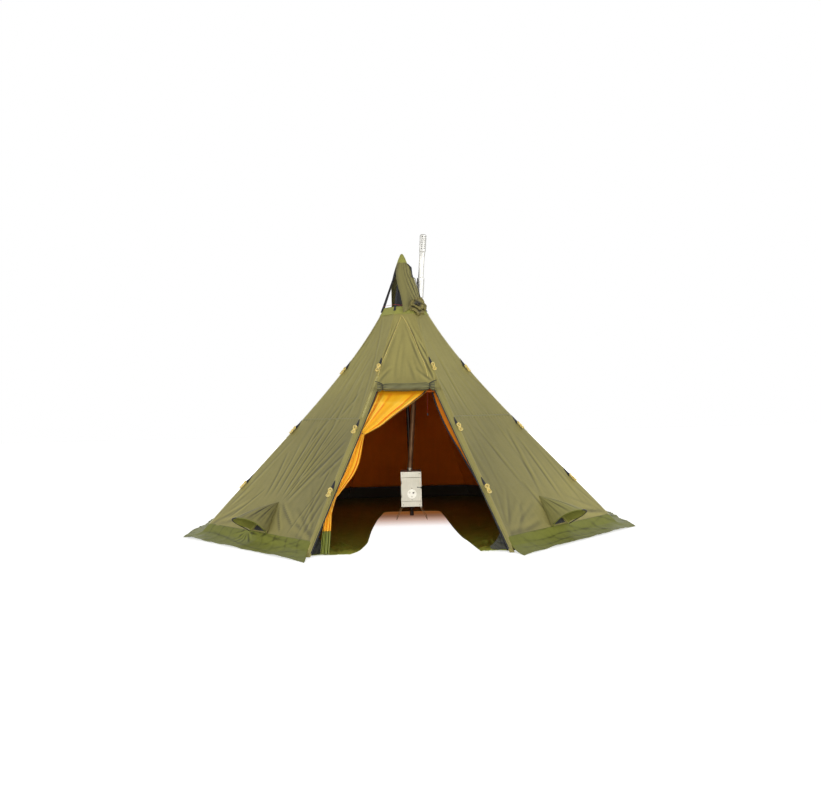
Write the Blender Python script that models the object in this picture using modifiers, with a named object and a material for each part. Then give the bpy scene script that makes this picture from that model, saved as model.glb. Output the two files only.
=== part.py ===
"""An eight-sided tipi tent hung from one centre pole, with its inner tent, stove and flue.

Metres, +Z up, origin on the ground at the middle of the tent. The doorway looks along -Y.
Side 0 is the door side and side 2 faces +X. Ridge 0 is the one between sides 0 and 1.
"""

import math

import bmesh
import bpy
import numpy as np
from mathutils import Matrix, Vector

# The plan and the profile of the outer tent
SIDES = 8
HALF = math.pi / SIDES
BASE_RADIUS = 2.343  # from the centre to a ridge at the hem
RIM_RADIUS = 0.251  # from the centre to a ridge at the crown
HEM_HEIGHT = 0.05
RIM_HEIGHT = 2.45
FLARE = 0.108  # how far a ridge hangs inside the straight line from hem to crown
FLARE_SKEW = 0.75  # above 0 puts most of that in the upper half
WALL_STEPS = 5
SIDE_BOW = 0.012  # how far the middle of a side is drawn in between its ridges
FABRIC = 0.0015
GAP = 0.0003  # left between pieces that touch
SEAM_INSET = 0.4 * FABRIC + GAP / 2  # keeps the inner faces of two mitred sides apart

# The snow skirt along each side's foot
SKIRT_WIDTH = 0.2
SKIRT_RISE = 0.022
SKIRT_WAVES = 2.5
SKIRT_STEPS = 3

# The doorway
DOOR_TOP = 1.49
JAMB_TOP_WIDTH = 0.082
JAMB_FOOT_WIDTH = 0.045
GABLE_FOLD = 0.012
GABLE_FOLD_TOP = 2.27  # above this the gable lies flat on the inner collar
ROLL_RADIUS = 0.043
ROLL_HEIGHT = 1.51
ROLL_LENGTH = 0.6
ROLL_STEP = 0.1  # share of the radius that the rolled edge stands up by
ROLL_FLARE = 1.1
TIE_PINCH = 0.8  # share of the radius left under a tie
TIE_INSET = 0.055  # from a roll's end to the middle of its tie
TIE_WIDTH = 0.022
TIE_THICK = 0.002

# The ridge webbing, its guy tabs and the stowed guy lines
STRAP_WIDTH = 0.02
STRAP_THICK = 0.0012
TAB_HEIGHTS = (0.614, 1.182, 1.84)
TAB_LENGTH = 0.12
TAB_WIDTH = 0.028
TAB_LIFT = 0.013
GUY_DIAMETER = 0.0035
HANK_LENGTH = 0.1
HANK_WIDTH = 0.05
HANK_TURNS = 1.5
HANK_PITCH = 0.008

# The crown: rim band, webbing, cap and smoke-hole mesh
RIM_BAND = 0.09
RIM_THICK = 0.002
CROWN_STRAP_WIDTH = 0.018
PATCH_RADIUS = 0.0575  # of the webbing patch on the pole's head
CAP_SEAM_HEIGHT = 2.99
CAP_SEAM_RADIUS = 0.06
CAP_RING = 0.09  # height of the part of the cap that goes all the way round
CAP_TIP_HEIGHT = 3.1
CAP_LEFT_TURN = 50.0  # degrees round from the door side to the front flap's left edge
CAP_LEFT_SWEEP = 2.2  # how soon that edge swings forward to the flap's point
CAP_RIGHT_TURN = 62.0  # degrees round to the front flap's right edge
CAP_FRONT_FOOT = 2.37
CAP_OVER_RIM = 0.02  # between the front flap and the gable's slope
CAP_BUNCH_MIDDLE = 2.45  # height of the bunch that the flap's right half is gathered into
CAP_BUNCH_HALF = 0.13
CAP_BUNCH_OUT = 0.04
CAP_PLEAT = 0.009
CAP_BACK_START = 148.0
CAP_BACK_END = 282.0
CAP_BACK_FOOT = 2.49
CAP_BACK_RADIUS = 0.136
CAP_BACK_DRAW = 0.33  # how far below the seam the back flap reaches that radius
CAP_SLOT_HALF = 6.0  # degrees either side of a strap
CAP_SLOT_TOP = 2.85
CAP_SLOT_FOOT = 2.7
MESH_TOP_RADIUS = 0.03
MESH_FOOT_RADIUS = 0.11
MESH_FOOT_HEIGHT = 2.44

# The inner tent
INNER_GAP = 0.07  # between the ridges of the two tents
INNER_TOP = 2.3
INNER_DOOR_TOP = 1.45
INNER_DOOR_HALF = 0.28
INNER_EDGE = 0.02  # zip tape beside a ridge where the doorway is as wide as the side
INNER_DOOR_CLOSE = 0.62  # the height where the doorway reaches the ridges
DRAPE_INSET = 0.008  # from the doorway's edge to the drawn-aside door
DRAPE_TOP_WIDTH = 0.495
DRAPE_TIE = 1.045
DRAPE_TIE_WIDTH = 0.078
DRAPE_PINCH = 0.42
DRAPE_PINCH_WIDTH = 0.042
DRAPE_FOOT = 0.02
DRAPE_FOOT_WIDTH = 0.125
DRAPE_FOLD = 0.01
FLOOR_THICK = 0.002
FLOOR_EDGE = 0.03  # width of the seam round the floor, where its cloth is doubled
FLOOR_EDGE_RISE = 0.0008
TUB_HEIGHT = 0.17  # of the floor's cloth that goes up the inner walls
SLOT_BACK = 0.57
SLOT_BACK_HALF = 0.32
SLOT_FRONT_HALF = 0.575
SLOT_SHIFT = 0.035

# The vent hoods on the two sides beside the door
HOOD_HALF = 0.14
HOOD_BULGE = 0.25  # how much wider than its feet the arch would be at its top
HOOD_SHIFT = 0.04
HOOD_FOOT = 0.118
HOOD_OUT = 0.205
HOOD_UP = 0.165
HOOD_PEAK = 0.39
HOOD_LEAN = 0.05
STAY_RADIUS = 0.003
STAY_FOOT = 0.2

# The centre pole
POLE_FOOT = Vector((0.036, 0.23, 0.0))
POLE_HEAD = Vector((-0.012, 0.0, 2.94))
POLE_RADIUS = 0.021
POLE_WALL = 0.0015
POLE_FIT = 0.0005
POLE_SPLIT = 1.62
POLE_OVERLAP = 0.55
FOOT_RADIUS = 0.0235
FOOT_HEIGHT = 0.045
HEAD_HEIGHT = 0.05
CLAMP_HEIGHT = 0.06
LEVER_LENGTH = 0.055

# The stove
STOVE_X = 0.034
STOVE_FRONT = -0.18
STOVE_BACK = 0.16
STOVE_WIDTH = 0.235
STOVE_FOOT = 0.157
STOVE_HEIGHT = 0.4
STEEL = 0.0015
DOOR_FOOT = 0.2235
DOOR_HEIGHT = 0.2635
DOOR_LIP = 0.014
PIN_RADIUS = 0.002
BARREL_WALL = 0.0016
BARREL_LENGTH = 0.03
RUNNING = 0.0005
DISC_RADIUS = 0.053
DISC_X = 0.04
DISC_Z = 0.304
HOLE_RADIUS = 0.011
HOLE_CIRCLE = 0.031
LATCH_X = 0.105
LATCH_Z = 0.378
LATCH_REACH = 0.05
KNOB_RADIUS = 0.008
LEG_WIRE = 0.003
LEG_SPREAD = 0.078
LEG_INSET = 0.016

# The flue
FLUE_FOOT = Vector((0.022, 0.08, 0.0))  # its X and Y at the top of the stove
FLUE_LEAN = Vector((0.0808, -0.04, 1.0))  # shift in X and Y for each metre up
FLUE_RADIUS = 0.0315
FLUE_WALL = 0.0008
FLUE_JOINT = 1.0  # along the flue, from the stove to the joint
FLUE_LENGTH = 2.56
BEAD_SPACING = 0.33
BEAD_HEIGHT = 0.012
BEAD_RISE = 0.002
SOCKET = 0.04
COLLAR_HEIGHT = 0.03
GUARD_RADIUS = 0.044
GUARD_START = 2.03
GUARD_LENGTH = 0.235
ARRESTOR_RADIUS = 0.04
ARRESTOR_LENGTH = 0.25
ARRESTOR_ROWS = 7
ARRESTOR_HOLES = 8

# Cords
PULL_DIAMETER = 0.003
PULL_X = 0.225
PULL_LENGTH = 0.22
TOGGLE_RADIUS = 0.008
TOGGLE_LENGTH = 0.026
CAP_CORD_DIAMETER = 0.0035

TENT = bpy.data.collections.new("tipi_tent")
CUTTERS = bpy.data.collections.new("cutters")


def clear_scene():
    for old in list(bpy.data.objects):
        bpy.data.objects.remove(old, do_unlink=True)
    bpy.context.scene.collection.children.link(TENT)
    bpy.context.scene.collection.children.link(CUTTERS)


def material(name, colour, roughness, metallic=0.0):
    made = bpy.data.materials.new(name)
    made.use_nodes = True
    shader = made.node_tree.nodes["Principled BSDF"]
    shader.inputs["Base Color"].default_value = (*colour, 1.0)
    shader.inputs["Roughness"].default_value = roughness
    shader.inputs["Metallic"].default_value = metallic
    return made


def make_materials():
    return {
        "canvas": material("olive_canvas", (0.24, 0.22, 0.09), 0.85),
        "lime": material("lime_lining", (0.3, 0.32, 0.07), 0.8),
        "webbing": material("black_webbing", (0.02, 0.02, 0.025), 0.8),
        "inner": material("orange_inner_cloth", (0.6, 0.16, 0.01), 0.7),
        "door": material("bright_inner_door", (0.9, 0.4, 0.03), 0.65),
        "floor": material("dark_floor_sheet", (0.03, 0.025, 0.012), 0.4),
        "mesh": material("black_mesh", (0.02, 0.02, 0.02), 0.9),
        "pole": material("dark_pole_metal", (0.06, 0.06, 0.065), 0.35, 0.8),
        "plastic": material("black_plastic", (0.015, 0.015, 0.015), 0.5),
        "titanium": material("satin_titanium", (0.62, 0.6, 0.54), 0.4, 1.0),
        "flue": material("flue_metal", (0.6, 0.55, 0.5), 0.3, 1.0),
        "red": material("red_cord", (0.5, 0.03, 0.02), 0.7),
        "cord": material("pale_cord", (0.75, 0.55, 0.15), 0.7),
    }


# Plain geometry helpers


def new_object(name, mesh, finish, smooth=True):
    made = bpy.data.objects.new(name, mesh)
    mesh.materials.append(finish)
    if smooth:
        mesh.shade_smooth()
        mesh.set_sharp_from_angle(angle=math.radians(35))
    TENT.objects.link(made)
    return made


def mesh_from(name, points, faces):
    mesh = bpy.data.meshes.new(name)
    mesh.from_pydata([tuple(p) for p in points], [], faces)
    return mesh


def sheet_mesh(name, grid, keep=None, wrap=False):
    """Quads over a grid of points, rows by columns; keep says which cells stay."""
    rows, columns = grid.shape[:2]
    cells = columns if wrap else columns - 1
    faces = []
    for row in range(rows - 1):
        for column in range(cells):
            if keep is not None and not keep[row, column]:
                continue
            beside = (column + 1) % columns
            faces.append(
                (
                    row * columns + column,
                    row * columns + beside,
                    (row + 1) * columns + beside,
                    (row + 1) * columns + column,
                )
            )
    mesh = mesh_from(name, grid.reshape(-1, 3), faces)
    body = bmesh.new()
    body.from_mesh(mesh)
    bmesh.ops.remove_doubles(body, verts=body.verts, dist=1e-6)
    loose = [vertex for vertex in body.verts if not vertex.link_faces]
    bmesh.ops.delete(body, geom=loose, context="VERTS")
    body.to_mesh(mesh)
    body.free()
    return mesh


def sheet(name, grid, finish, thickness=FABRIC, outwards=False, keep=None, wrap=False):
    """A cloth or plate: the grid given a thickness, behind it or in front of it."""
    made = new_object(name, sheet_mesh(name, grid, keep, wrap), finish)
    wall = made.modifiers.new("thickness", "SOLIDIFY")
    wall.thickness = thickness
    wall.offset = 1.0 if outwards else -1.0
    return made


def turned(name, profile, finish, base=(0, 0, 0), along=(0, 0, 1), steps=16, ring=False):
    """A turned shape: (radius, height) points, outer side first, about the line along."""
    mesh = bpy.data.meshes.new(name)
    count = len(profile)
    edges = [(i, i + 1) for i in range(count - 1)] + ([(count - 1, 0)] if ring else [])
    mesh.from_pydata([(radius, 0.0, height) for radius, height in profile], edges, [])
    made = new_object(name, mesh, finish, smooth=False)
    turn = made.modifiers.new("turn", "SCREW")
    turn.steps = turn.render_steps = steps
    turn.use_merge_vertices = True
    turn.merge_threshold = 0.0001
    turn.use_smooth_shade = True
    lean = Vector(along).to_track_quat("Z", "Y").to_matrix().to_4x4()
    made.matrix_world = Matrix.Translation(Vector(base)) @ lean
    return made


def tube_profile(outer, inner, low, high):
    return [(outer, high), (outer, low), (inner, low), (inner, high)]


def box(name, low, high, finish):
    body = bmesh.new()
    bmesh.ops.create_cube(body, size=1.0)
    low, high = Vector(low), Vector(high)
    for vertex in body.verts:
        vertex.co = Vector(
            [(a + b) / 2 + c * (b - a) for a, b, c in zip(low, high, vertex.co, strict=True)]
        )
    mesh = bpy.data.meshes.new(name)
    body.to_mesh(mesh)
    body.free()
    return new_object(name, mesh, finish, smooth=False)


def wire(name, points, radius, finish, sides=1, closed=False):
    """A round wire or cord along the points."""
    curve = bpy.data.curves.new(name, "CURVE")
    curve.dimensions = "3D"
    curve.bevel_depth = radius
    curve.bevel_resolution = sides
    curve.use_fill_caps = True
    line = curve.splines.new("POLY")
    line.points.add(len(points) - 1)
    for place, point in zip(line.points, points, strict=True):
        place.co = (*point, 1.0)
    line.use_cyclic_u = closed
    made = bpy.data.objects.new(name, curve)
    curve.materials.append(finish)
    TENT.objects.link(made)
    return made


def baked(made):
    """The object with its modifiers, or its curve, turned into one plain closed mesh."""
    bpy.context.view_layer.update()
    graph = bpy.context.evaluated_depsgraph_get()
    mesh = bpy.data.meshes.new_from_object(made.evaluated_get(graph))
    body = bmesh.new()
    body.from_mesh(mesh)
    bmesh.ops.remove_doubles(body, verts=body.verts, dist=1e-6)
    body.to_mesh(mesh)
    body.free()
    name, place = made.name, made.matrix_world.copy()
    bpy.data.objects.remove(made, do_unlink=True)
    fresh = bpy.data.objects.new(name, mesh)
    fresh.matrix_world = place
    TENT.objects.link(fresh)
    return fresh


def combine(target, tool, operation):
    """A Boolean of the target with a tool, which then only guides it."""
    if tool.type == "CURVE":
        tool = baked(tool)
    for group in list(tool.users_collection):
        group.objects.unlink(tool)
    CUTTERS.objects.link(tool)
    tool.hide_render = True
    tool.display_type = "WIRE"
    change = target.modifiers.new(tool.name, "BOOLEAN")
    change.operation = operation
    change.solver = "EXACT"
    change.object = tool
    return target


# The shape of the tent


def ridge_radius(height, foot=BASE_RADIUS, head=RIM_RADIUS):
    """The flared ridge: a straight line from hem to crown less a skewed parabola."""
    share = (height - HEM_HEIGHT) / (RIM_HEIGHT - HEM_HEIGHT)
    hang = 4 * FLARE * share * (1 - share) * (1 + FLARE_SKEW * (2 * share - 1))
    return foot + (head - foot) * share - hang


WALL_ROWS = np.linspace(HEM_HEIGHT, RIM_HEIGHT, WALL_STEPS + 1)
FULL_ROWS = np.concatenate([[0.0], WALL_ROWS])


def fly_radius(height):
    """The ridge as the outer tent's cloth has it, straight between its rows."""
    return np.interp(height, FULL_ROWS, ridge_radius(FULL_ROWS))


def inner_radius(height):
    return fly_radius(height) - INNER_GAP


def side_frame(side):
    """The directions straight out from a side and level along it."""
    angle = side * 2 * HALF
    return (
        np.array([math.sin(angle), -math.cos(angle), 0.0]),
        np.array([math.cos(angle), math.sin(angle), 0.0]),
    )


def ridge_turn(ridge):
    """The turn about Z that brings the -Y direction onto a ridge."""
    return Matrix.Rotation((2 * ridge + 1) * HALF, 4, "Z")


def on_side(side, sideways, height, radius=fly_radius, out=0.0):
    """Points on a flat side, sideways metres from its middle and out metres outwards."""
    outward, along = side_frame(side)
    sideways, height, out = np.broadcast_arrays(
        np.asarray(sideways, float), np.asarray(height, float), np.asarray(out, float)
    )
    level = radius(height) * math.cos(HALF) + out
    return (
        level[..., None] * outward
        + sideways[..., None] * along
        + height[..., None] * np.array([0.0, 0.0, 1.0])
    )


def wall_bow(share, height):
    """How far a fly side is drawn in, share of the way from its middle to a ridge."""
    shares = (WALL_ROWS - HEM_HEIGHT) / (RIM_HEIGHT - HEM_HEIGHT)
    level = np.interp(height, WALL_ROWS, np.sin(math.pi * shares))
    return -SIDE_BOW * (1 - np.asarray(share) ** 2) * level


def half_side(height, radius=fly_radius):
    """Half of a side's width at a height, less the inset of its seam."""
    return radius(height) * math.sin(HALF) - SEAM_INSET


def rows_between(low, high, steps=0):
    """The wall's own rows between two heights, with more rows where steps asks."""
    inside = WALL_ROWS[(WALL_ROWS > low + 0.02) & (WALL_ROWS < high - 0.02)]
    more = np.linspace(low, high, steps + 1)[1:-1] if steps else np.empty(0)
    return np.unique(np.concatenate([[low], inside, more, [high]]))


# The outer tent


def fly_side(side, finish):
    """A wall panel with its snow skirt sewn on at the hem."""
    across = np.linspace(-1, 1, 13)
    outward, along = side_frame(side)
    window = 1 - across**2
    rows = []
    for share in np.linspace(1, 0, SKIRT_STEPS + 1)[:-1]:
        corner = BASE_RADIUS + share * SKIRT_WIDTH
        wave = 0.5 - 0.5 * np.cos(2 * math.pi * SKIRT_WAVES * across + side + 2 * share)
        height = FABRIC + SKIRT_RISE * wave * window * (1.2 - share)
        height = height + HEM_HEIGHT * max(0.0, 1 - share / 0.6) ** 2
        level = corner * math.cos(HALF) + 0.4 * SKIRT_RISE * window * share * (wave - 1)
        reach = across * (corner * math.sin(HALF) - SEAM_INSET)
        rows.append(
            level[:, None] * outward
            + reach[:, None] * along
            + height[:, None] * np.array([0.0, 0.0, 1.0])
        )
    for height in WALL_ROWS:
        rows.append(
            on_side(side, across * half_side(height), height, out=wall_bow(across, height))
        )
    return sheet(f"fly_side_{side}", np.array(rows), finish)


def jamb_width(height):
    """The strip between a door ridge and the doorway, wider towards the top."""
    return JAMB_FOOT_WIDTH + (JAMB_TOP_WIDTH - JAMB_FOOT_WIDTH) * height / DOOR_TOP


def door_jamb(name, hand, finish):
    heights = rows_between(FABRIC, DOOR_TOP - GAP)
    share = np.linspace(0, 1, 3)
    rows = []
    for height in heights:
        outer = half_side(height)
        reach = outer - share * jamb_width(height)
        rows.append(on_side(0, -reach if hand < 0 else reach[::-1], height))
    return sheet(name, np.array(rows), finish)


def fly_gable(finish):
    """The cloth above the doorway, with the folds that hang from the crown."""
    across = np.linspace(-1, 1, 17)
    rows = []
    for height in rows_between(DOOR_TOP, RIM_HEIGHT, 4):
        share = min(1.0, (height - DOOR_TOP) / (GABLE_FOLD_TOP - DOOR_TOP))
        fade = math.sin(math.pi * share) ** 0.7 * (1 - across**2)
        fold = GABLE_FOLD * fade * np.cos(3.5 * math.pi * (across - 0.25 * share))
        rows.append(on_side(0, across * half_side(height), height, out=fold - GABLE_FOLD * fade))
    return sheet("fly_gable", np.array(rows), finish)


def roll_centre():
    """The roll lies against the slope of the gable, clear of it by its own radius."""
    step = 0.02
    low, high = ROLL_HEIGHT - step, ROLL_HEIGHT + step
    slope = (fly_radius(low) - fly_radius(high)) * math.cos(HALF) / (2 * step)
    clear = (ROLL_RADIUS * ROLL_FLARE * 0.945 + GAP) * math.hypot(1, slope)
    return np.array([0.0, -(fly_radius(ROLL_HEIGHT) * math.cos(HALF) + clear), ROLL_HEIGHT])


def roll_stations():
    """Places along the roll, with its radius and sag there: drawn in flat at each tie."""
    tie = ROLL_LENGTH / 2 - TIE_INSET
    seat = TIE_WIDTH / 2 + 0.002
    places = np.array([0.0, 0.09, tie - 0.05, tie - seat, tie + seat, ROLL_LENGTH / 2])
    radii = ROLL_RADIUS * np.array([1.0, 1.0, 0.98, TIE_PINCH, TIE_PINCH, ROLL_FLARE])
    sags = np.array([-0.006, -0.004, 0.0, 0.0, 0.0, 0.0])
    both = [np.concatenate([values[:0:-1], values]) for values in (radii, sags)]
    return np.concatenate([-places[:0:-1], places]), *both


def door_roll(finish):
    """The outer door rolled up: a spiral's outline carried along the roll."""
    stations, radius, sag = roll_stations()
    turn = np.linspace(0, 2 * math.pi, 14, endpoint=False)
    # the last corner lies beside the first and lower, so the rolled edge stands up
    turn = np.concatenate([turn, [2 * math.pi - 0.02]])
    shape = 1 - ROLL_STEP * turn / (2 * math.pi)
    centre = roll_centre()
    grid = np.empty((len(stations), len(turn), 3))
    grid[..., 0] = stations[:, None]
    grid[..., 1] = centre[1] - radius[:, None] * shape * np.sin(turn)
    grid[..., 2] = centre[2] + sag[:, None] + radius[:, None] * shape * np.cos(turn)
    mesh = sheet_mesh("door_roll", grid, wrap=True)
    body = bmesh.new()
    body.from_mesh(mesh)
    bmesh.ops.holes_fill(body, edges=[edge for edge in body.edges if edge.is_boundary])
    bmesh.ops.recalc_face_normals(body, faces=body.faces)
    body.to_mesh(mesh)
    body.free()
    return new_object("door_roll", mesh, finish)


def roll_tie(name, hand, finish):
    """A strap loop drawn tight round the roll near one end."""
    _, y, z = roll_centre()
    steps = 20
    inner = (ROLL_RADIUS * TIE_PINCH + GAP) / math.cos(math.pi / steps)
    profile = tube_profile(inner + TIE_THICK, inner, -TIE_WIDTH / 2, TIE_WIDTH / 2)
    base = (hand * (ROLL_LENGTH / 2 - TIE_INSET), y, z)
    return turned(name, profile, finish, base, (1, 0, 0), steps, ring=True)


def strap_point(x, height, out):
    """A point over the ridge that faces -Y, x to its side."""
    return (x, -(fly_radius(height) - abs(x) * math.tan(HALF) + out), height)


def slope_frame(height):
    """Down the ridge and straight out from it, at a height on the ridge facing -Y."""
    step = 0.02
    run = fly_radius(height - step) - fly_radius(height + step)
    down = Vector((0.0, -run, -2 * step)).normalized()
    return down, Vector((0.0, down.z, -down.y))


def hank_points(top, down, out):
    """A guy line in a hank: long loops drawn in at the waist, each beside the last."""
    across = Vector((1.0, 0.0, 0.0))
    points = []
    count = round(HANK_TURNS * 8)
    for step in range(count + 1):
        turn = 2 * math.pi * step / 8
        wide = math.sin(turn) * (1 - 0.6 * math.sin(turn) ** 2)
        points.append(
            top
            + down * (HANK_LENGTH / 2 * (1 - math.cos(turn)))
            + across * (HANK_WIDTH * wide)
            + out * (HANK_PITCH * step / 8)
        )
    return points


def least_self_gap(points, diameter):
    """The least clear distance between stretches of a tube a half turn or more apart."""
    places = np.array([tuple(p) for p in points])
    fine = np.concatenate(
        [np.linspace(a, b, 6, endpoint=False) for a, b in zip(places, places[1:], strict=False)]
    )
    apart = np.linalg.norm(fine[:, None] - fine[None], axis=2)
    index = np.arange(len(fine))
    near = np.abs(index[:, None] - index[None]) < 6 * 3
    return float(np.where(near, np.inf, apart).min()) - diameter


def ridge_straps(finish):
    """Webbing over every ridge, with three guy tabs and their stowed lines."""
    heights = rows_between(HEM_HEIGHT + 0.01, RIM_HEIGHT - RIM_BAND - 0.004)
    out = 2 * GAP
    half = STRAP_WIDTH / 2
    grid = np.array([[strap_point(x, h, out) for x in (-half, 0.0, half)] for h in heights])
    strap = sheet("ridge_strap", grid, finish, STRAP_THICK, outwards=True)
    strap = baked(strap)
    for number, top in enumerate(TAB_HEIGHTS):
        down, up_out = slope_frame(top)
        start = Vector(strap_point(0, top, out)) + up_out * STRAP_THICK * 0.4
        shares = (0.0, 0.45, 1.0)
        lift = (0.0, 0.15, 1.0)
        wide = (0.25, 0.6, 1.0)
        tab = np.array(
            [
                [
                    start + down * TAB_LENGTH * s + up_out * TAB_LIFT * l + Vector((x * w, 0, 0))
                    for x in (-TAB_WIDTH / 2, TAB_WIDTH / 2)
                ]
                for s, l, w in zip(shares[::-1], lift[::-1], wide[::-1], strict=True)
            ]
        )
        strap = combine(strap, sheet(f"tab_{number}", tab, finish, 0.0025, outwards=True), "UNION")
        end = start + down * (TAB_LENGTH - 0.012) + up_out * (TAB_LIFT * 0.8)
        hank = hank_points(end, down, up_out)
        strap = combine(strap, wire(f"hank_{number}", hank, GUY_DIAMETER / 2, finish, 0), "UNION")
        if number == 0:
            print(f"guy hank: least gap to itself {1000 * least_self_gap(hank, GUY_DIAMETER):.2f} mm")
    strap = baked(strap)
    mesh = strap.data
    bpy.data.objects.remove(strap, do_unlink=True)
    made = []
    for ridge in range(SIDES):
        one = bpy.data.objects.new(f"ridge_strap_{ridge + 1}", mesh)
        one.matrix_world = ridge_turn(ridge)
        TENT.objects.link(one)
        made.append(one)
    return made


# The crown


def crown_rim(finish):
    """The lime band round the smoke hole, outside the wall panels' tops."""
    low = RIM_HEIGHT - RIM_BAND
    rows = []
    for height in rows_between(low, RIM_HEIGHT):
        radius = fly_radius(height) + 3 * GAP
        turn = (np.arange(SIDES) * 2 + 1) * HALF
        rows.append(
            np.stack([radius * np.sin(turn), -radius * np.cos(turn), np.full(SIDES, height)], 1)
        )
    return sheet("crown_rim", np.array(rows), finish, RIM_THICK, outwards=True, wrap=True)


def crown_strap_ends(ridge):
    """The two ends of a crown strap's straight stretch: on the patch and over the rim."""
    turn = ridge_turn(ridge)
    clear = RIM_THICK * 1.5 + 3 * GAP
    patch = Vector((POLE_HEAD.x, POLE_HEAD.y, POLE_HEAD.z + 0.0005))
    return (
        patch + turn @ Vector((0, -PATCH_RADIUS, 0)),
        turn @ Vector((0, -(fly_radius(RIM_HEIGHT) + clear), RIM_HEIGHT + 0.004)),
    )


def crown_webbing(finish):
    """Eight straps from a round patch on the pole's head to the corners of the rim."""
    low = RIM_HEIGHT - 0.5 * RIM_BAND
    body = bmesh.new()
    ring = []
    for ridge in range(SIDES):
        turn = ridge_turn(ridge)
        patch, rim = crown_strap_ends(ridge)
        drop = Vector((0, -(fly_radius(low) - fly_radius(RIM_HEIGHT)), low - rim.z))
        verts = []
        for point, width in ((patch, 0.8), (rim, 1.0), (rim + turn @ drop, 1.0)):
            for x in (-CROWN_STRAP_WIDTH / 2, CROWN_STRAP_WIDTH / 2):
                verts.append(body.verts.new(point + turn @ Vector((x * width, 0, 0))))
        ring += verts[:2]
        for a in (0, 2):
            body.faces.new((verts[a + 2], verts[a + 3], verts[a + 1], verts[a]))
    body.faces.new(ring)
    bmesh.ops.recalc_face_normals(body, faces=body.faces)
    if sum(face.normal.z for face in body.faces) < 0:
        bmesh.ops.reverse_faces(body, faces=body.faces)
    mesh = bpy.data.meshes.new("crown_webbing")
    body.to_mesh(mesh)
    body.free()
    made = new_object("crown_webbing", mesh, finish)
    wall = made.modifiers.new("thickness", "SOLIDIFY")
    wall.thickness = STRAP_THICK
    wall.offset = 1.0
    return made


def cap_ring_foot():
    return CAP_SEAM_HEIGHT - CAP_RING


def cap_radius(azimuth, height):
    """How far out from the pole's head the cap hangs at a height.

    azimuth is in degrees from the door side, positive towards +X. The front flap is
    pulled straight from the seam to its point over the rim, and bulges on its right
    where it is gathered. The back flap hangs slim, like a quarter of a sine.
    """
    drop = CAP_SEAM_HEIGHT - height
    if azimuth > CAP_RIGHT_TURN:
        share = min(1.0, drop / CAP_BACK_DRAW)
        behind = math.sin(math.pi / 2 * share)
        return CAP_SEAM_RADIUS + (CAP_BACK_RADIUS - CAP_SEAM_RADIUS) * behind
    foot = fly_radius(CAP_FRONT_FOOT) * math.cos(HALF) + CAP_OVER_RIM
    straight = (foot - CAP_SEAM_RADIUS) * drop / (CAP_SEAM_HEIGHT - CAP_FRONT_FOOT)
    right = np.clip((azimuth - 20) / 25, 0, 1)
    near = np.clip(abs(height - CAP_BUNCH_MIDDLE) / CAP_BUNCH_HALF, 0, 1)
    bunch = CAP_BUNCH_OUT * right * math.cos(math.pi / 2 * near) ** 2
    return CAP_SEAM_RADIUS + straight + bunch


def strap_azimuth(ridge):
    """Degrees round from the door side to where a crown strap meets the back flap."""
    patch, rim = crown_strap_ends(ridge)
    share = (patch.z - (CAP_SLOT_TOP + CAP_SLOT_FOOT) / 2) / (patch.z - rim.z)
    place = patch.lerp(rim, share)
    return math.degrees(math.atan2(place.x - POLE_HEAD.x, -place.y)) % 360


def front_foot(share):
    """How low the front flap reaches, from its left edge to its right one."""
    return float(np.interp(share, [0, 0.3, 0.55, 1], np.array([0, 0.06, 0.01, 0.03]))) + CAP_FRONT_FOOT


def front_turn(share, height):
    """Where a column of the front flap lies at a height: its left edge sweeps forward."""
    down = np.clip((cap_ring_foot() - height) / (cap_ring_foot() - CAP_FRONT_FOOT), 0, 1)
    left = -CAP_LEFT_TURN * (1 - down) ** CAP_LEFT_SWEEP
    return left + (CAP_RIGHT_TURN - left) * share


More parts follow.
